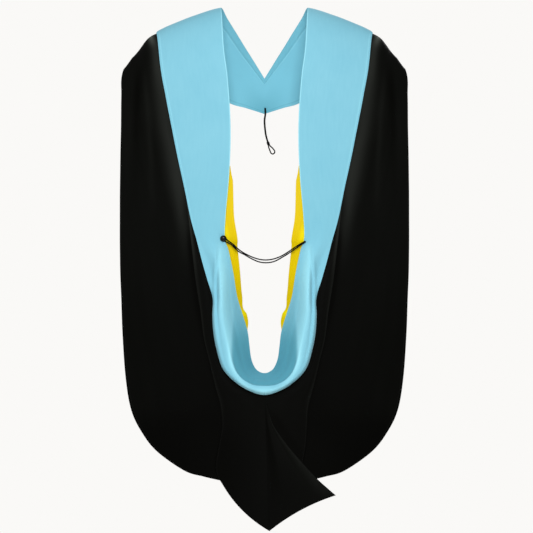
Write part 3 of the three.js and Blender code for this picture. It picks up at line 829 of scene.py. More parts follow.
def arithmetic(operation: str, reflected: bool = False) -> Callable:
    """Operator of a wire that adds a Math node, with both sides swapped where it is reflected.

    Args:
        operation: Operation of the Math node.
        reflected: Whether the wire stands on the right.

    Returns:
        The operator.
    """

    def operator(wire: "Wire", other: "Wire | float") -> "Wire":
        """The node's result."""
        return wire.maths(operation, other, wire) if reflected else wire.maths(operation, wire, other)

    return operator


class Wire:
    """A node's output socket that can be reckoned with as a number."""

    def __init__(self, tree: "Nodes", socket: bpy.types.NodeSocket) -> None:
        """Keeps the tree and the socket."""
        self.tree = tree
        self.socket = socket

    def maths(self, operation: str, *values: "Wire | float") -> "Wire":
        """Adds a Math node on these values."""
        inputs = dict(enumerate(values))
        return self.tree.add("ShaderNodeMath", {"operation": operation}, inputs)

    __add__ = arithmetic("ADD")
    __radd__ = arithmetic("ADD", reflected=True)
    __sub__ = arithmetic("SUBTRACT")
    __rsub__ = arithmetic("SUBTRACT", reflected=True)
    __mul__ = arithmetic("MULTIPLY")
    __rmul__ = arithmetic("MULTIPLY", reflected=True)

    def sine(self) -> "Wire":
        """Sine of the value."""
        return self.maths("SINE", self)

    def held(self) -> "Wire":
        """The value held between 0 and 1."""
        return self.tree.add("ShaderNodeClamp", {}, {"Value": self})


class Nodes:
    """Builds one node tree."""

    def __init__(self, tree: bpy.types.NodeTree) -> None:
        """Starts from an empty tree."""
        self.tree = tree
        tree.nodes.clear()

    def add(
        self, kind: str, settings: dict | None = None, inputs: dict | None = None, out: str | int = 0
    ) -> Wire:
        """Adds a node.

        Args:
            kind: Type of the node.
            settings: Attributes set before its sockets.
            inputs: Values or wires for its sockets, by name or number.
            out: Output to return, by name or number.

        Returns:
            The output as a wire.
        """
        node = self.tree.nodes.new(kind)
        for name, value in (settings or {}).items():
            setattr(node, name, value)
        for name, value in (inputs or {}).items():
            if isinstance(value, Wire):
                self.tree.links.new(value.socket, node.inputs[name])
            else:
                node.inputs[name].default_value = value
        return Wire(self, node.outputs[out])

    def noise(self, place: Wire, scale: float, detail: float = 2.0, roughness: float = 0.5) -> Wire:
        """Noise at a place, between 0 and 1."""
        inputs = {"Vector": place, "Scale": scale, "Detail": detail, "Roughness": roughness}
        return self.add("ShaderNodeTexNoise", {}, inputs, "Fac")

    def shade(self, name: str) -> Wire:
        """A shade that the mesh carries as an attribute."""
        return self.add("ShaderNodeAttribute", {"attribute_name": name}, out="Fac")

    def blend(self, share: Wire | float, first: Wire | Steps, second: Wire | Steps) -> Wire:
        """Mix of two colours, each one a wire or a screen colour.

        Args:
            share: Share of the second colour.
            first: First colour.
            second: Second colour.

        Returns:
            The mixed colour.
        """
        low, high = (colour if isinstance(colour, Wire) else tint(*colour) for colour in (first, second))
        settings = {"data_type": "RGBA", "clamp_factor": True}
        return self.add("ShaderNodeMix", settings, {0: share, 6: low, 7: high}, 2)

    def end(self, kind: str, last: Wire, socket: str | int = "Surface") -> None:
        """Ends the tree with its output node."""
        self.tree.links.new(last.socket, self.tree.nodes.new(kind).inputs[socket])

    def stretched(self, place: Wire, scale: Triple) -> Wire:
        """A place scaled along its axes."""
        return self.add("ShaderNodeMapping", {}, {"Vector": place, "Scale": scale})


class Finish:
    """A material under construction, ended by its shader."""

    def __init__(self, name: str) -> None:
        """Starts an empty node material.

        Args:
            name: Name of the material.
        """
        self.material = bpy.data.materials.new(name)
        self.material.use_nodes = True
        self.nodes = Nodes(self.material.node_tree)
        self.place = self.nodes.add("ShaderNodeTexCoord", out="Object")
        self.cloth = self.nodes.add("ShaderNodeTexCoord", out="UV")

    def bump(self, height: Wire, strength: float, distance: float) -> Wire:
        """Normal of a relief of a certain height."""
        inputs = {"Strength": strength, "Distance": distance, "Height": height}
        return self.nodes.add("ShaderNodeBump", {}, inputs)

    def surface(self, **inputs: Wire | float | tuple) -> Material:
        """Ends the material.

        Args:
            **inputs: Principled sockets by name, with underscores for spaces.

        Returns:
            The finished material.
        """
        named = {name.replace("_", " "): value for name, value in inputs.items()}
        shader = self.nodes.add("ShaderNodeBsdfPrincipled", {}, named)
        self.nodes.end("ShaderNodeOutputMaterial", shader)
        return self.material


@dataclass(frozen=True)
class Velvet:
    """Cut pile velvet: soft mottling, with painted shade, painted highlight and painted light on the front.
    """

    name: str = "velvet_blue"
    pile: Steps = (123, 192, 214)
    mottled: Steps = (141, 206, 225)
    # Colours of painted shade, of painted highlight and of painted light on the front, in this order
    painted_shade_colour: Steps = (62, 147, 168)
    painted_highlight_colour: Steps = (167, 236, 252)
    facing: Steps = (142, 218, 239)
    sheen: float = 0.2
    sheen_roughness: float = 0.35

    def material(self) -> Material:
        """Builds the velvet's nodes.

        Returns:
            The material.
        """
        finish = Finish(self.name)
        nodes = finish.nodes
        cloud = nodes.noise(finish.place, 11, 3)
        streak = nodes.noise(nodes.stretched(finish.cloth, (160, 24, 1)), 1, 3)
        pile = nodes.noise(finish.place, 1400, 1)
        # Painted shade, painted highlight and painted light on the front, as attributes of the mesh
        nap = nodes.shade("nap")
        share = (cloud * 0.9 + streak * 0.5 - 0.2 + (pile - 0.5) * 0.5).held()
        fresh = nodes.blend(share, self.pile, self.mottled)
        bloom = nodes.shade("bloom")
        facing = nodes.shade("facing")
        painted_front_lit = nodes.blend(facing * (1 - cloud * 0.25), fresh, self.facing)
        # Painted shade, mottled a little
        turned = nodes.blend((nap + (cloud - 0.5) * 0.12).held(), painted_front_lit, self.painted_shade_colour)
        colour = nodes.blend(bloom, turned, self.painted_highlight_colour)
        return finish.surface(
            Base_Color=colour,
            Roughness=0.92,
            Specular_IOR_Level=0.15,
            Sheen_Weight=self.sheen,
            Sheen_Roughness=self.sheen_roughness,
            Sheen_Tint=tint(214, 240, 250),
            Normal=finish.bump(pile * 0.7 + streak * 0.3, 0.35, 0.4 * MM),
        )


@dataclass(frozen=True)
class Shell:
    """Black gown cloth with a fine twill, paler under painted light and darker under painted shadow."""

    name: str = "shell_black"
    deep: Steps = (3, 3, 2)
    # Colour of the painted light
    painted_lit_colour: Steps = (84, 88, 83)
    contrast: float = 2.2
    thread: float = 0.7 * MM

    def material(self) -> Material:
        """Builds the shell cloth's nodes.

        Returns:
            The material.
        """
        finish = Finish(self.name)
        nodes = finish.nodes
        cloud = nodes.noise(finish.place, 7, 3)
        across = nodes.add("ShaderNodeSeparateXYZ", {}, {"Vector": finish.cloth}, "X")
        down = nodes.add("ShaderNodeSeparateXYZ", {}, {"Vector": finish.cloth}, "Y")
        turns = 2 * math.pi / self.thread
        twill = ((across + down) * turns).sine() * 0.5 + 0.5
        slub = nodes.noise(nodes.stretched(finish.cloth, (900, 60, 1)), 1, 2)
        streak = nodes.noise(nodes.stretched(finish.cloth, (46, 3, 1)), 1, 2)
        # Painted light and shadow from the mesh, mottled by noise
        lustre = nodes.shade("lustre")
        mottled = lustre * (streak * 0.22 + cloud * 0.1 + 0.84)
        lit_share = mottled.maths("POWER", mottled, self.contrast)
        colour = nodes.blend(lit_share.held(), self.deep, self.painted_lit_colour)
        return finish.surface(
            Base_Color=colour,
            Roughness=cloud * 0.08 + 0.5,
            Specular_IOR_Level=0.02,
            Normal=finish.bump(twill * 0.5 + slub * 0.5, 0.3, 0.15 * MM),
        )


@dataclass(frozen=True)
class Satin:
    """Gold satin: long floats, with painted sheen streaks along the cloth."""

    name: str = "satin_gold"
    deep: Steps = (218, 184, 0)
    bright: Steps = (243, 220, 0)

    def material(self) -> Material:
        """Builds the satin's nodes.

        Returns:
            The material.
        """
        finish = Finish(self.name)
        nodes = finish.nodes
        # Painted sheen: streaks of the brighter colour along the cloth
        streak = nodes.noise(nodes.stretched(finish.cloth, (420, 12, 1)), 1, 3)
        floats = nodes.noise(nodes.stretched(finish.cloth, (4200, 500, 1)), 1, 1)
        # Painted highlights beside the cord's ends and at the wrinkle
        nap = nodes.shade("nap")
        share = (streak * 0.8 + nap - 0.1).held()
        colour = nodes.blend(share, self.deep, self.bright)
        return finish.surface(
            Base_Color=colour,
            Roughness=streak * 0.14 + 0.32,
            Specular_IOR_Level=0.08,
            Normal=finish.bump(floats * 0.6 + streak * 0.4, 0.1, 0.1 * MM),
        )


@dataclass(frozen=True)
class Grained:
    """Plain plastic, cord or thread with a fine grain."""

    name: str
    dark: Steps
    light: Steps
    scale: float
    detail: int
    roughness: float
    specular: float
    haze: float = 0.0
    relief: tuple[float, float] | None = None

    def material(self) -> Material:
        """Builds the nodes: haze roughens the grain, and relief is a bump's strength and depth.

        Returns:
            The material.
        """
        finish = Finish(self.name)
        grain = finish.nodes.noise(finish.place, self.scale, self.detail)
        inputs = {
            "Base_Color": finish.nodes.blend(grain, self.dark, self.light),
            "Roughness": grain * self.haze + self.roughness if self.haze else self.roughness,
            "Specular_IOR_Level": self.specular,
        }
        if self.relief:
            inputs["Normal"] = finish.bump(grain, *self.relief)
        return finish.surface(**inputs)


CORDING = Grained("cord_black", (3, 3, 4), (9, 9, 10), 2600, 2, 0.6, 0.05, relief=(0.4, 0.12 * MM))
GLOSS = Grained("gloss_black", (3, 3, 4), (9, 9, 11), 240, 3, 0.05, 0.25, 0.06, (0.05, 0.05 * MM))
BLUE_THREAD = Grained("thread_blue", (96, 168, 190), (118, 188, 210), 3000, 2, 0.6, 0.2)
BLACK_THREAD = Grained("thread_black", (12, 12, 11), (22, 23, 21), 3000, 2, 0.6, 0.2)


class Stitching:
    """Rows of stitches along lines, built by one Geometry Nodes tree."""

    LENGTH = 1.7 * MM
    PITCH = 2.9 * MM
    RADIUS = 0.3 * MM
    LIFT = 0.05 * MM

    def __init__(self) -> None:
        """Builds the node tree."""
        self.tree = bpy.data.node_groups.new("stitch_row", "GeometryNodeTree")
        self.sockets: dict[str, str] = {}
        for name, kind in (("Line", "Geometry"), ("Pitch", "Float"), ("Thread", "Material")):
            socket = self.tree.interface.new_socket(name, in_out="INPUT", socket_type=f"NodeSocket{kind}")
            self.sockets[name] = socket.identifier
        self.tree.interface.new_socket("Stitches", in_out="OUTPUT", socket_type="NodeSocketGeometry")
        nodes = Nodes(self.tree)
        line, pitch, thread = (nodes.add("NodeGroupInput", out=name) for name in self.sockets)
        curve = nodes.add("GeometryNodeMeshToCurve", {}, {"Mesh": line})
        places = nodes.add("GeometryNodeCurveToPoints", {"mode": "LENGTH"}, {"Curve": curve, "Length": pitch})
        turn = Wire(nodes, places.socket.node.outputs["Rotation"])
        stitch = nodes.add("GeometryNodeMeshIcoSphere", {}, {"Radius": 1.0, "Subdivisions": 1})
        size = (self.RADIUS, self.RADIUS, self.LENGTH / 2)
        rows = nodes.add("GeometryNodeInstanceOnPoints", {}, {
            "Points": places, "Instance": stitch, "Rotation": turn, "Scale": size,
        })
        real = nodes.add("GeometryNodeRealizeInstances", {}, {"Geometry": rows})
        dyed = nodes.add("GeometryNodeSetMaterial", {}, {"Geometry": real, "Material": thread})
        nodes.end("NodeGroupOutput", dyed, 0)

    def sew(self, name: str, cloth: Cloth, at: Array, across: float, thread: Material) -> None:
        """Sews one row of stitches down a cloth.

        Args:
            name: Name of the row.
            cloth: Cloth under it.
            at: Rows of the cloth, from its start to its end.
            across: Share across the cloth.
            thread: Thread that it is sewn with.
        """
        line = cloth.line(at, np.full(at.shape, across), self.LIFT)
        mesh = bpy.data.meshes.new(f"{name}_line")
        mesh.from_pydata(line.tolist(), [(i, i + 1) for i in range(len(line) - 1)], [])
        base = link(f"{name}_line", mesh)
        modifier = base.modifiers.new("stitches", "NODES")
        modifier.node_group = self.tree
        modifier[self.sockets["Pitch"]] = self.PITCH
        modifier[self.sockets["Thread"]] = thread
        view = bpy.context.evaluated_depsgraph_get()
        sewn = bpy.data.meshes.new_from_object(base.evaluated_get(view))
        base.modifiers.remove(modifier)
        bpy.data.objects.remove(base)
        sewn.name = name
        made = link(name, sewn)
        dress(made, thread)
        seat(made)


def dress(piece: bpy.types.Object, material: Material) -> None:
    """Gives a piece its material.

    Args:
        piece: The piece.
        material: What it is made of.
    """
    piece.data.materials.clear()
    piece.data.materials.append(material)


def seat(piece: bpy.types.Object, *nodes: str) -> None:
    """Makes a piece ride on the hood's one body, in place of some nodes.

    Args:
        piece: The piece.
        *nodes: Solids that it replaces.
    """
    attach(piece, BODY)
    if nodes:
        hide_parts(*nodes)
    LOG.info("%s: %d faces", piece.name, len(piece.data.polygons))


def lay(
    cloth: Cloth, material: Material, slot: Slot, node: str, flat: tuple[float, float], area: float,
    held: str = "hung", **shades: Shade,
) -> None:
    """Builds a cloth piece in place of its solid.

    Args:
        cloth: The piece.
        material: What it is made of.
        slot: Slot of its material; not used.
        node: Solid that it replaces.
        flat: Width and length of its flat cloth; not used.
        area: Area of its flat cloth; not used.
        held: How it is held; not used.
        **shades: Attributes that its material reads.
    """
    made = link(cloth.name, cloth.mesh(**shades))
    dress(made, material)
    seat(made, node)


# Studio


@dataclass
class Studio:
    """Camera, lights and floor."""

    centre: Triple = (0.0046, 0.0, -0.5944)
    frame_span: float = 1.2237
    lens: float = 1200.0
    sensor: float = 36.0
    floor_height: float = -1.32
    floor_size: float = 3.2
    backdrop: Steps = (250, 249, 247)
    surround: float = 0.36

    # Name, place, size in metres and power in watts
    LAMPS = (
        ("key", (0.1, -4.3, 0.5), 1.2, 110),
        ("fill", (-2.4, -3.0, 0.2), 2.2, 12),
        ("top", (0.0, -0.9, 2.6), 1.8, 18),
        ("rear", (0.6, 3.6, 0.8), 2.6, 60),
    )

    def camera(self) -> None:
        """Makes the camera that sees the hood as the photograph does."""
        data = bpy.data.cameras.new("camera")
        data.lens = self.lens
        data.sensor_width = self.sensor
        distance = self.frame_span / 2 / math.tan(math.atan(self.sensor / 2 / self.lens))
        data.clip_start = 0.1
        data.clip_end = distance * 3
        made = bpy.data.objects.new("camera", data)
        made.location = Vector(self.centre) - Vector((0, distance, 0))
        made.rotation_euler = (math.pi / 2, 0, 0)
        bpy.context.scene.collection.objects.link(made)
        bpy.context.scene.camera = made

    def light(self, name: str, place: Sequence[float], size: float, power: float) -> None:
        """Adds a soft square light that faces the hood.

        Args:
            name: Name of the light.
            place: Where it stands, in metres.
            size: Side of its square in metres.
            power: Power in watts.
        """
        data = bpy.data.lights.new(name, "AREA")
        data.shape = "SQUARE"
        data.size = size
        data.energy = power
        made = bpy.data.objects.new(name, data)
        made.location = place
        aim = Vector(self.centre) - Vector(place)
        made.rotation_euler = aim.to_track_quat("-Z", "Y").to_euler()
        made.visible_camera = False
        bpy.context.scene.collection.objects.link(made)

    def lights(self) -> None:
        """Sets up the soft lights and the pale surroundings."""
        for name, place, size, power in self.LAMPS:
            self.light(name, place, size, power)
        world = bpy.data.worlds.new("surroundings")
        world.use_nodes = True
        nodes = Nodes(world.node_tree)
        colour = tint(*self.backdrop)
        seen = nodes.add("ShaderNodeBackground", {}, {"Color": colour, "Strength": 1.0})
        around = nodes.add("ShaderNodeBackground", {}, {"Color": colour, "Strength": self.surround})
        direct = nodes.add("ShaderNodeLightPath", out="Is Camera Ray")
        both = nodes.add("ShaderNodeMixShader", {}, {0: direct, 1: around, 2: seen})
        nodes.end("ShaderNodeOutputWorld", both)
        bpy.context.scene.world = world
        bpy.context.scene.view_settings.view_transform = "Standard"

    def floor(self) -> None:
        """Lays a plain pale floor under the hood, fading out into the surroundings."""
        half = self.floor_size
        corners = np.array([(-half, -half, 0), (half, -half, 0), (half, half, 0), (-half, half, 0)], float)
        corners[:, 2] = self.floor_height
        floor = link("floor", mesh_of("floor", corners, [[0, 1, 2, 3]]))
        material = bpy.data.materials.new("floor_pale")
        material.use_nodes = True
        nodes = Nodes(material.node_tree)
        place = nodes.add("ShaderNodeTexCoord", out="Object")
        flat_place = nodes.add("ShaderNodeVectorMath", {"operation": "MULTIPLY"}, {0: place, 1: (1, 1, 0)})
        reach = nodes.add("ShaderNodeVectorMath", {"operation": "LENGTH"}, {0: flat_place}, "Value")
        alpha = (1.6 - reach * (1.6 / half)).held()
        paint = nodes.add("ShaderNodeBsdfPrincipled", {}, {
            "Base Color": tint(246, 245, 243),
            "Roughness": 0.9,
            "Specular IOR Level": 0.1,
            "Alpha": alpha,
        })
        nodes.end("ShaderNodeOutputMaterial", paint)
        floor.data.materials.append(material)

    def build(self) -> None:
        """Builds the whole studio."""
        self.camera()
        self.lights()
        self.floor()


# Cords


@dataclass
class Line:
    """A cord's line through given points."""

    points: tuple[Triple, ...]
    step: float = 0.6 * MM

    def places(self) -> Array:
        """Evenly spaced places along the smooth line, in metres.

        Returns:
            The places in order.
        """
        knots = np.array(self.points, float) * MM
        fine = np.linspace(0, len(knots) - 1, 60 * len(knots))
        raw = np.stack([through(knots[:, axis], fine) for axis in range(3)], axis=-1)
        run = run_along(raw)
        count = max(int(run[-1] / self.step), 8)
        even = np.linspace(0, run[-1], count)
        return np.stack([np.interp(even, run, raw[:, axis]) for axis in range(3)], axis=-1)


def frames_along(line: Array) -> tuple[Array, Array, Array]:
    """Directions along a line and two across it that never twist.

    Args:
        line: Places along the line.

    Returns:
        Unit vectors along, across and over, one of each for each place.
    """
    along = np.gradient(line, axis=0)
    along /= np.linalg.norm(along, axis=1, keepdims=True)
    across = np.zeros_like(line)
    start = np.cross(along[0], (0.0, 1.0, 0.0))
    across[0] = start / np.linalg.norm(start)
    for i in range(1, len(line)):
        moved = across[i - 1] - along[i] * (across[i - 1] @ along[i])
        across[i] = moved / np.linalg.norm(moved)
    return along, across, np.cross(along, across)


END_SHARE = 0.55


def tube(name: str, line: Array, radius: float, sides: int, lobes: int = 0, lay: float = 1.0,
         relief: float = 0.0) -> bpy.types.Object:
    """A closed round tube, with the relief of twisted strands where it has lobes.

    Args:
        name: Name of the object.
        line: Places along its middle.
        radius: Radius in metres.
        sides: Corners of its section.
        lobes: Number of strands that show round it.
        lay: Length along which a strand goes once round.
        relief: Depth of the grooves between strands.

    Returns:
        The tube.
    """
    _, across, over = frames_along(line)
    run = run_along(line)
    angles = np.linspace(0, 2 * math.pi, sides, endpoint=False)
    phase = lobes * (angles[None, :] - 2 * math.pi * run[:, None] / lay)
    depth = radius - relief * (0.5 - 0.5 * np.cos(phase))
    ends = np.ones(len(line))
    ends[0] = ends[-1] = END_SHARE
    reach = (depth * ends[:, None])[..., None]
    ring = across[:, None, :] * np.cos(angles)[None, :, None]
    ring = ring + over[:, None, :] * np.sin(angles)[None, :, None]
    points = (line[:, None, :] + ring * reach).reshape(-1, 3)
    faces = []
    for i in range(len(line) - 1):
        for j in range(sides):
            near = i * sides + j
            beside = i * sides + (j + 1) % sides
            faces.append((near, beside, beside + sides, near + sides))
    faces.append(tuple(range(sides))[::-1])
    last = (len(line) - 1) * sides
    faces.append(tuple(last + j for j in range(sides)))
    return link(name, mesh_of(name, points, faces))


@dataclass
class KnottedCord:
    """One free cord: two strands side by side that pass a knot and close in a loop."""

    name: str
    first: tuple[Triple, ...]
    loop: tuple[Triple, ...]
    second: tuple[Triple, ...]
    knot_place: Triple
    knot_axis: Triple
    length: float
    nodes: tuple[str, ...]
    knot_length: float
    wraps: float
    diameter: float = 3 * MM
    knot_radius: float = 3.4 * MM

    WRAP_STEPS = 40
    KNOT_BULGE = 0.25 * MM
    KNOT_FLATNESS = 0.92
    STRANDS = 3
    STRAND_LAY = 6.5 * MM
    STRAND_RELIEF = 0.12 * MM

    def knot(self, material: Material) -> bpy.types.Object:
        """Winds the cord's knot round its two strands.

        Args:
            material: What it is made of.

        Returns:
            The knot.
        """
        axis = Vector(self.knot_axis).normalized()
        turn = Vector((0, 0, 1)).rotation_difference(axis).to_matrix()
        winds = np.linspace(0, 1, round(self.WRAP_STEPS * self.wraps))
        wind_radius = self.diameter * 0.5
        reach = self.knot_radius - wind_radius + self.KNOT_BULGE * np.sin(winds * math.pi)
        angle = winds * self.wraps * 2 * math.pi
        rise = (winds - 0.5) * (self.knot_length - self.diameter)
        local = np.stack([reach * np.cos(angle), reach * np.sin(angle), rise], axis=-1)
        local[:, 0] *= self.KNOT_FLATNESS
        places = local @ np.array(turn).T + np.array(self.knot_place) * MM
        made = tube(f"{self.name}_knot", places, wind_radius, 10)
        dress(made, material)
        return made

    def build(self, material: Material) -> None:
        """Args:
            material: What it is made of.
        """
        route = Line(self.first + self.loop + self.second[::-1]).places()
        made = tube(
            self.name, route, self.diameter / 2, 12, self.STRANDS, self.STRAND_LAY, self.STRAND_RELIEF
        )
        dress(made, material)
        LOG.info("%s: %.4f m along its line", self.name, run_along(route)[-1])
        knot = self.knot(material)
        seat(made, *self.nodes[:-1])
        seat(knot, self.nodes[-1])


# Velvet band


@dataclass
class VelvetBands:
    """The two velvet bands, from the front neck seam to the rolled rim."""

    roll_rise: float = 27 * MM
    roll_fall: float = 46 * MM
    roll_crest: float = 0.64
    roll_reach: float = 0.34
    roll_squareness: int = 6
    hem_wall: float = 1.8 * MM
    hem_width: float = 0.16
    shoulder_row: int = 5
    button_row: int = 12
    pitch: float = 3.6 * MM
    flat: tuple[float, float] = (0.21, 1.36)
    flat_area: float = 0.155
    hem_seam: float = 0.955
    fold_seam: float = 0.11
    edge_seam: float = 0.972
    lip_reach: float = 0.075
    lip_inside: float = 0.12

    # Painted shade: inside the rim, in front, by the neck seam, and so on
    PAINTED_SHADE_INSIDE = 0.7
    PAINTED_SHADE_FRONT = 0.14
    PAINTED_SHADE_NECK = 0.3
    PAINTED_SHADE_FOLD = 0.16
    PAINTED_SHADE_SEAM = 0.25
    PAINTED_SHADE_BACK = 0.07

    # Painted highlight: along the edges of the back, and at the step of the turned edge
    PAINTED_HIGHLIGHT_INNER = 0.8
    PAINTED_HIGHLIGHT_OUTER = 0.35
    PAINTED_HIGHLIGHT_STEP = 0.45

    def roll(self, at: Array, across: Array) -> Array:
        """Height of the rolled rim over the back, from inner edge at 0 to outer edge at 1.

        Args:
            at: Rows of the piece.
            across: Shares across it, 0 at the inner edge and 1 at the outer one.

        Returns:
            Heights in metres.
        """
        crest = RIM.look_up("row", "crest", at)
        slope = smooth(1 - np.abs(across - crest) / self.roll_reach)
        face = 1 - np.maximum((across - crest) / (1 - crest), 0) ** self.roll_squareness
        fall = np.maximum(crest - across, 0)
        sunk = fall * np.where(fall > crest, 1, smooth(fall / crest))
        rise = np.where(across > crest, mix(slope, face, RIM.look_up("row", "shelf", at)), slope)
        height = self.roll_rise * rise - self.roll_fall / self.roll_crest * sunk
        return BAND.at("roll", at) * height

    def lipped(self, at: Array, across: Array) -> Array:
        """Share across the band, pushed outward under the rim's lip.

        Args:
            at: Rows of the piece.
            across: Shares across it, 0 at the inner edge and 1 at the outer one.

        Returns:
            The pushed shares.
        """
        crest = RIM.look_up("row", "crest", at)
        lip = RIM.look_up("row", "lip", at)
        return across + self.lip_reach * lip * mound((across - crest + self.lip_inside) / self.lip_reach)

    def face(self, side: Side, plain: bool = False) -> Surface:
        """Outer face of one band, with its pleats and lip or as the satin under it lies.

        Args:
            side: Side of the body.
            plain: Whether the pleats and the lip are left out.

        Returns:
            The surface.
        """
        edges = edges_of(RUN)

        def surface(at: Array, across: Array) -> Array:
            """Place on the outer face.

            Args:
                at: Rows of the piece.
                across: Shares across it, 0 at the inner edge and 1 at the outer one.

            Returns:
                Places on the face.
            """
            held = np.clip(at, 0, len(BAND.rows) - 1)
            share = across if plain else self.lipped(held, across)
            out, turn = (
                mix(through(inner, held, self.shoulder_row), through(outer, held, self.shoulder_row), share)
                for inner, outer in zip(*edges)
            )
            height = self.roll(held, across) + (0 if plain else pleated(BAND_PLEATS, held, across))
            points = FORM.raised(out, turn, height)
            points[..., 0] = side.value * (np.maximum(points[..., 0], 0) + SEAM_GAP / 2)
            return points

        return surface

    def wall(self, at: Array, across: Array) -> Array:
        """Thickness of the band, with the turned edge along the neckline."""
        turned = smooth((self.hem_width - across) / 0.02) * smooth(self.shoulder_row - at)
        return VELVET_WALL + self.hem_wall * turned

    def nap(self, at: Array, across: Array) -> Array:
        """Painted shade: most on the wall inside the rolled rim.

        Args:
            at: Rows of the piece.
            across: Shares across it, 0 at the inner edge and 1 at the outer one.

        Returns:
            Share of painted shade, from 0 to 1.
        """
        shade_until = RIM.look_up("row", "shade_until", at)
        inside = smooth((shade_until - across) / 0.07) * smooth((at - 15) / 3)
        in_front = smooth(self.shoulder_row - at)
        low = self.PAINTED_SHADE_FRONT * smooth((3.9 - at) / 2.2)
        low = low + self.PAINTED_SHADE_NECK * smooth((across - 0.3) / 0.7) * smooth((1.6 - at) / 1.6)
        turned_edge = self.PAINTED_SHADE_FOLD * smooth((self.hem_width + 0.01 - across) / 0.02)
        stitched = self.PAINTED_SHADE_SEAM * mound((across - 0.945) / 0.008)
        behind = self.PAINTED_SHADE_BACK * smooth((at - 8) / 3) * smooth(self.button_row + 0.6 - at)
        return np.clip(self.PAINTED_SHADE_INSIDE * inside + in_front * (low + turned_edge + stitched) + behind, 0, 1)

    def facing(self, at: Array, across: Array) -> Array:
        """Share of the front, whose inside is seen and gets painted light."""
        return smooth(self.shoulder_row - at) * np.ones_like(across)

    def bloom(self, at: Array, across: Array) -> Array:
        """Painted highlight: along the edges and the turned one's step.

        Args:
            at: Rows of the piece.
            across: Shares across it, 0 at the inner edge and 1 at the outer one.

        Returns:
            Share of painted highlight, from 0 to 1.
        """
        hanging = smooth(2 * (at - self.shoulder_row)) * smooth(self.button_row + 0.4 - at)
        in_front = smooth(self.shoulder_row - at)
        inner = self.PAINTED_HIGHLIGHT_INNER * smooth((0.02 - across) / 0.01)
        outer = self.PAINTED_HIGHLIGHT_OUTER * mound((across - 0.965) / 0.009)
        step = self.PAINTED_HIGHLIGHT_STEP * mound((across - self.hem_width - 0.012) / 0.01)
        crest = mounds((CREST_PAINTED_HIGHLIGHT,), at, across)
        return np.clip(hanging * (inner + outer) + in_front * step + crest, 0, 1)

    def cloth(self, side: Side) -> Cloth:
        """One band as cloth, its grid finer beside both edges.

        Args:
            side: Side of the body.

        Returns:
            The cloth.
        """
        across = np.concatenate([
            np.linspace(0, 0.04, 5)[:-1],
            np.linspace(0.04, 0.92, 46)[:-1],
            np.linspace(0.92, 1, 10),
        ])
        stations = stations_of(BAND, self.pitch)
        name = f"velvet_band_{side.name.lower()}"
        return Cloth(name, self.face(side), stations, across, self.wall, side)

    def build(self, material: Material, stitching: Stitching, thread: Material) -> None:
        """Builds and stitches both bands.

        Args:
            material: What it is made of.
            stitching: Tree that sews the stitches.
            thread: Thread of the stitches.
        """
        for side in Side:
            cloth = self.cloth(side)
            # Painted shade, painted highlight and painted light on the front
            shades = {"nap": self.nap, "bloom": self.bloom, "facing": self.facing}
            node = f"velvet_{side.name.lower()}"
            lay(cloth, material, Slot.VELVET, node, self.flat, self.flat_area, held="draped", **shades)
            front = np.linspace(0.02, self.shoulder_row - 0.1, 120)
            back = np.linspace(self.shoulder_row + 0.1, self.button_row, 240)
            rows = (
                ("hem", front, self.hem_seam),
                ("fold", front, self.fold_seam),
                ("edge", back, self.edge_seam),
            )
            for name, at, across in rows:
                stitching.sew(f"velvet_{name}_{side.name.lower()}", cloth, at, across, thread)


# Satin lining


@dataclass
class SatinLinings:
    """The strips of satin that show beside the inner edges of the bands."""

    wall: float = 1.0 * MM
    gap: float = 1.3 * MM
    tuck: float = 0.14
    columns: int = 18
    count: int = 150
    flat: tuple[float, float] = (0.05, 0.4)
    flat_area: float = 0.0125

    CORD_ROW = 11.9
    WRINKLE_ROW = 15.9
    WRINKLE_RISE = 0.9 * MM

    def face(self, side: Side, bands: VelvetBands) -> Surface:
        """Outer face of one lining, a layer below the band.

        Args:
            side: Side of the body.
            bands: Bands that it lies under.

        Returns:
            The surface.
        """
        plain = bands.face(side, plain=True)
        first = LINING.rows[0][0]
        last = LINING.rows[-1][0]

        def surface(at: Array, share: Array) -> Array:
            """Place on the outer face.

            Args:
                at: Rows of the piece.
                share: Shares across it, 0 at the free edge.

            Returns:
                Places on the face.
            """
            held = np.clip(at, first, last)
            across = mix(-LINING.look_up("row", "reach", held), self.tuck, share)
            outward = normals_of(plain, held, across)
            outward = outward * np.where(outward[..., 1:2] > 0, -1, 1)
            near = mound((held - self.WRINKLE_ROW) / 0.16)
            wrinkle = self.WRINKLE_RISE * near * smooth((0.55 - share) / 0.4)
            return plain(held, across) - outward * (VELVET_WALL + self.gap - wrinkle)[..., None]

        return surface

    def nap(self, at: Array, share: Array) -> Array:
        """Painted highlights beside the cord's ends and at the wrinkle."""
        beside_cord = 0.9 * mound((at - self.CORD_ROW) / 0.4) * smooth((share - 0.3) / 0.4)
        return beside_cord + 0.7 * mound((at - self.WRINKLE_ROW) / 0.2)

    def build(self, material: Material, bands: VelvetBands) -> None:
        """Builds both linings.

        Args:
            material: What it is made of.
            bands: Bands that it lies under.
        """
        for side in Side:
            stations = np.linspace(LINING.rows[0][0], LINING.rows[-1][0], self.count)
            across = np.linspace(0, 1, self.columns)
            cloth = Cloth(f"satin_{side.name.lower()}", self.face(side, bands), stations, across, self.wall)
            node = f"lining_{side.name.lower()}"
            # With painted highlights
            lay(cloth, material, Slot.SATIN, node, self.flat, self.flat_area, nap=self.nap)


# Black side panels


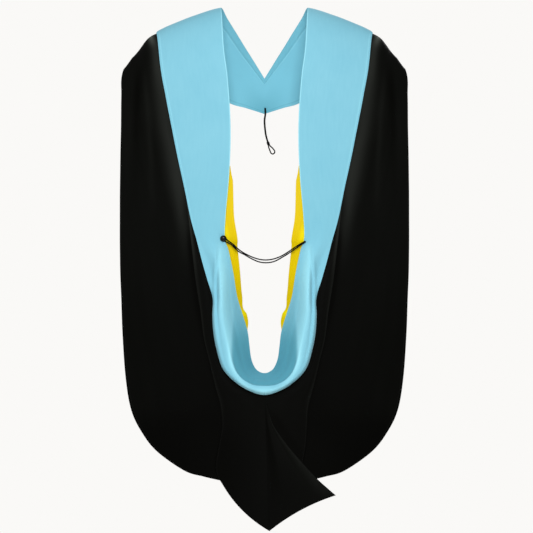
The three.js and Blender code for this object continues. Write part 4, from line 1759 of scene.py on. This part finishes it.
@dataclass
class SidePanels:
    """The two wide black panels, over the shoulders and down to the round hem."""

    hang_row: int = 6
    wrinkle: float = 0.35 * MM
    wrinkle_pitch: float = 90 * MM
    seed: int = 11
    pitch: float = 5.0 * MM
    columns: int = 56
    hem_seam: float = 0.975
    flat: tuple[float, float] = (0.3, 1.3)
    flat_area: float = 0.21

    def face(self, side: Side) -> Surface:
        """Outer face of one panel.

        Args:
            side: Side of the body.

        Returns:
            The surface.
        """
        below = -(VELVET_WALL + SHELL_WALL + 2 * LAYER_GAP)
        (_, inner_turn), (_, outer_turn) = edges_of(PANEL)

        def surface(at: Array, across: Array) -> Array:
            """Place on the outer face.

            Args:
                at: Rows of the piece.
                across: Shares across it, 0 at the inner edge and 1 at the outer one.

            Returns:
                Places on the face.
            """
            held = np.clip(at, 0, len(PANEL.rows) - 1)
            out = mix(PANEL.at("inner_out", held), PANEL.at("outer_out", held), across)
            down = mix(PANEL.at("inner_down", held), PANEL.at("outer_down", held), across)
            round_turn = mix(through(inner_turn, held), through(outer_turn, held), across)
            turn = mix(round_turn, FORM.turn(out, down, BACK), smooth(held - self.hang_row))
            wrinkles = self.wrinkle * ripple(FORM.point(out, turn), self.wrinkle_pitch, self.seed)
            points = FORM.raised(out, turn, below + pleated(PANEL_FOLDS, held, across) + wrinkles)
            points[..., 0] = side.value * points[..., 0]
            return points

        return surface

    def cloth(self, side: Side) -> Cloth:
        """One panel as cloth.

        Args:
            side: Side of the body.

        Returns:
            The cloth.
        """
        across = np.linspace(0, 1, self.columns)
        name = f"side_panel_{side.name.lower()}"
        return Cloth(name, self.face(side), stations_of(PANEL, self.pitch), across, SHELL_WALL)

    def build(self, material: Material, stitching: Stitching, thread: Material) -> None:
        """Builds and stitches both panels.

        Args:
            material: What it is made of.
            stitching: Tree that sews the stitches.
            thread: Thread of the stitches.
        """
        for side in Side:
            cloth = self.cloth(side)
            node = f"panel_{side.name.lower()}"
            # With painted light and shadow
            lay(cloth, material, Slot.SHELL, node, self.flat, self.flat_area, lustre=PANEL_PAINTED_LIGHT.shade)
            at = np.linspace(0.1, len(PANEL.rows) - 1.1, 400)
            stitching.sew(f"panel_hem_{side.name.lower()}", cloth, at, self.hem_seam, thread)


# Cowl and tail


@dataclass
class TailPiece:
    """Black cloth over the panels: a straight line across each row, bowed and swelling."""

    name: str
    node: str
    side: Side
    table: Table
    height: float
    puff: float
    # Painted light and shadow on the piece
    lustre: PaintedLight
    flat: tuple[float, float]
    flat_area: float
    pitch: float = 5.0 * MM
    columns: int = 40
    sewn_from: float = 0.6
    hem_seam: float = 0.965

    def face(self) -> Surface:
        """Outer face of the piece.

        Returns:
            The surface.
        """
        table = self.table
        sign = self.side.value

        def surface(at: Array, across: Array) -> Array:
            """Place on the outer face.

            Args:
                at: Rows of the piece.
                across: Shares across it, 0 at the inner edge and 1 at the outer one.

            Returns:
                Places on the face.
            """
            held = np.clip(at, 0, len(table.rows) - 1)
            inner_out = table.at("inner_out", held)
            outer_out = table.at("outer_out", held)
            inner_down = table.at("inner_down", held)
            fall = (table.at("outer_down", held) - inner_down) * FORM.length
            under = table.at("under", held)
            shown = (across - under) / (1 - under)
            swell = smooth(3 * shown) * smooth(3 * (1 - shown))
            reach = (outer_out - inner_out) * FORM.half_width
            bow = table.at("bow", held) * 4 * across * (1 - across)
            start = inner_out + sign * seam_out(inner_down)
            out = mix(start, outer_out, across) - bow * fall / FORM.half_width
            down = mix(inner_down, table.at("outer_down", held), across)
            turn = FORM.turn(out, down, BACK) + bow * reach / FORM.shoulder_round
            points = FORM.raised(out, turn, self.height + self.puff * table.at("swell", held) * swell)
            points[..., 0] = sign * (points[..., 0] + SEAM_GAP / 2)
            return points

        return surface

    def cloth(self) -> Cloth:
        """The piece as cloth.

        Returns:
            The cloth.
        """
        across = np.linspace(0, 1, self.columns)
        stations = stations_of(self.table, self.pitch)
        return Cloth(self.name, self.face(), stations, across, SHELL_WALL, self.side)

    def build(self, material: Material, stitching: Stitching, thread: Material) -> None:
        """Builds and stitches the piece.

        Args:
            material: What it is made of.
            stitching: Tree that sews the stitches.
            thread: Thread of the stitches.
        """
        cloth = self.cloth()
        # With painted light and shadow
        lay(cloth, material, Slot.SHELL, self.node, self.flat, self.flat_area, lustre=self.lustre.shade)
        at = np.linspace(self.sewn_from, len(self.table.rows) - 1.15, 200)
        stitching.sew(f"{self.name}_hem", cloth, at, self.hem_seam, thread)


COWL_HEIGHT = -(VELVET_WALL + LAYER_GAP)
FLAP_HEIGHT = COWL_HEIGHT + SHELL_WALL + LAYER_GAP
TAIL_PIECES = (
    TailPiece(
        "cowl_cloth_left", "cowl_left", Side.LEFT, COWL_LEFT, COWL_HEIGHT, 1.5 * MM, COWL_LEFT_PAINTED_LIGHT,
        (0.17, 0.92), 0.055,
    ),
    TailPiece(
        "cowl_cloth_right", "cowl_right", Side.RIGHT, COWL_RIGHT, COWL_HEIGHT, 1.5 * MM, COWL_RIGHT_PAINTED_LIGHT,
        (0.16, 0.68), 0.042,
    ),
    TailPiece(
        "flap_cloth", "tail_flap", Side.RIGHT, FLAP, FLAP_HEIGHT, 5 * MM, FLAP_PAINTED_LIGHT, (0.18, 0.3), 0.02,
    ),
)


# Button


@dataclass
class DomeButton:
    """Small glossy shank button on the left band."""

    radius: float = 7.5 * MM
    shank_radius: float = 2.7 * MM
    shank_height: float = 3.6 * MM
    dome_height: float = 5.2 * MM
    sides: int = 48

    LIP_SHARE = 0.9
    LIP_BEVEL = 0.4 * MM
    LIP_HEIGHT = 1 * MM
    ARC_STEPS = 14
    PLACE = (-94.21, -111.37, -530.06)
    DIRECTION = (0.006, -0.997, -0.082)

    def profile(self) -> list[tuple[float, float]]:
        """Radius and height of the button's turned outline, from the axis out and back.

        Returns:
            Pairs of radius and height.
        """
        rim = self.shank_height + self.LIP_HEIGHT
        edge = [
            (0.0, 0.0),
            (self.shank_radius, 0.0),
            (self.shank_radius, self.shank_height),
            (self.radius * self.LIP_SHARE, self.shank_height),
            (self.radius, self.shank_height + self.LIP_BEVEL),
            (self.radius, rim),
        ]
        arc = [
            (self.radius * math.cos(angle), rim + (self.dome_height - self.LIP_HEIGHT) * math.sin(angle))
            for angle in np.linspace(0.08, math.pi / 2, self.ARC_STEPS)
        ]
        arc[-1] = (0.0, arc[-1][1])
        return edge + arc

    def build(self, material: Material) -> None:
        """Turns the button and sets it on the band.

        Args:
            material: What it is made of.
        """
        profile = self.profile()
        axis = Vector(self.DIRECTION).normalized()
        turn = np.array(Vector((0, 0, 1)).rotation_difference(axis).to_matrix())
        place = np.array(self.PLACE) * MM
        angles = np.linspace(0, 2 * math.pi, self.sides, endpoint=False)
        rings = [
            np.stack([r * np.cos(angles), r * np.sin(angles), np.full(self.sides, h)], axis=-1)
            for r, h in profile[1:-1]
        ]
        local = np.concatenate([*rings, [[0, 0, profile[0][1]], [0, 0, profile[-1][1]]]])
        count = len(rings)
        foot = count * self.sides
        faces = []
        for j in range(self.sides):
            after = (j + 1) % self.sides
            for i in range(count - 1):
                near = i * self.sides
                faces.append((near + j, near + after, near + self.sides + after, near + self.sides + j))
            faces.append((foot, after, j))
            top = (count - 1) * self.sides
            faces.append((foot + 1, top + j, top + after))
        made = link("dome_button", mesh_of("dome_button", local @ turn.T + place, faces))
        dress(made, material)
        seat(made, "button")


BACK_CORD = KnottedCord(
    "back_cord", BACK_UPPER, BACK_LOOP, BACK_LOWER, BACK_KNOT, BACK_KNOT_AXIS, 0.45,
    ("back_cord_upper", "back_cord_lower", "back_cord_loop", "back_knot"), 13 * MM, 5.5,
)
FRONT_CORD = KnottedCord(
    "front_cord", FRONT_LEFT, FRONT_LOOP, FRONT_RIGHT, FRONT_KNOT, FRONT_KNOT_AXIS, 0.226,
    ("front_cord_left", "front_cord_right", "front_cord_loop", "front_knot"), 8 * MM, 3.2,
)


def main() -> None:
    """Builds the studio and every piece of the hood."""
    logging.basicConfig(level=logging.INFO, format="%(name)s: %(message)s")
    Studio().build()
    cording = CORDING.material()
    for cord in (BACK_CORD, FRONT_CORD):
        cord.build(cording)
    bands = VelvetBands()
    stitching = Stitching()
    bands.build(Velvet().material(), stitching, BLUE_THREAD.material())
    SatinLinings().build(Satin().material(), bands)
    shell = Shell().material()
    black = BLACK_THREAD.material()
    SidePanels().build(shell, stitching, black)
    for piece in TAIL_PIECES:
        piece.build(shell, stitching, black)
    DomeButton().build(GLOSS.material())


if __name__ == "__main__":
    main()
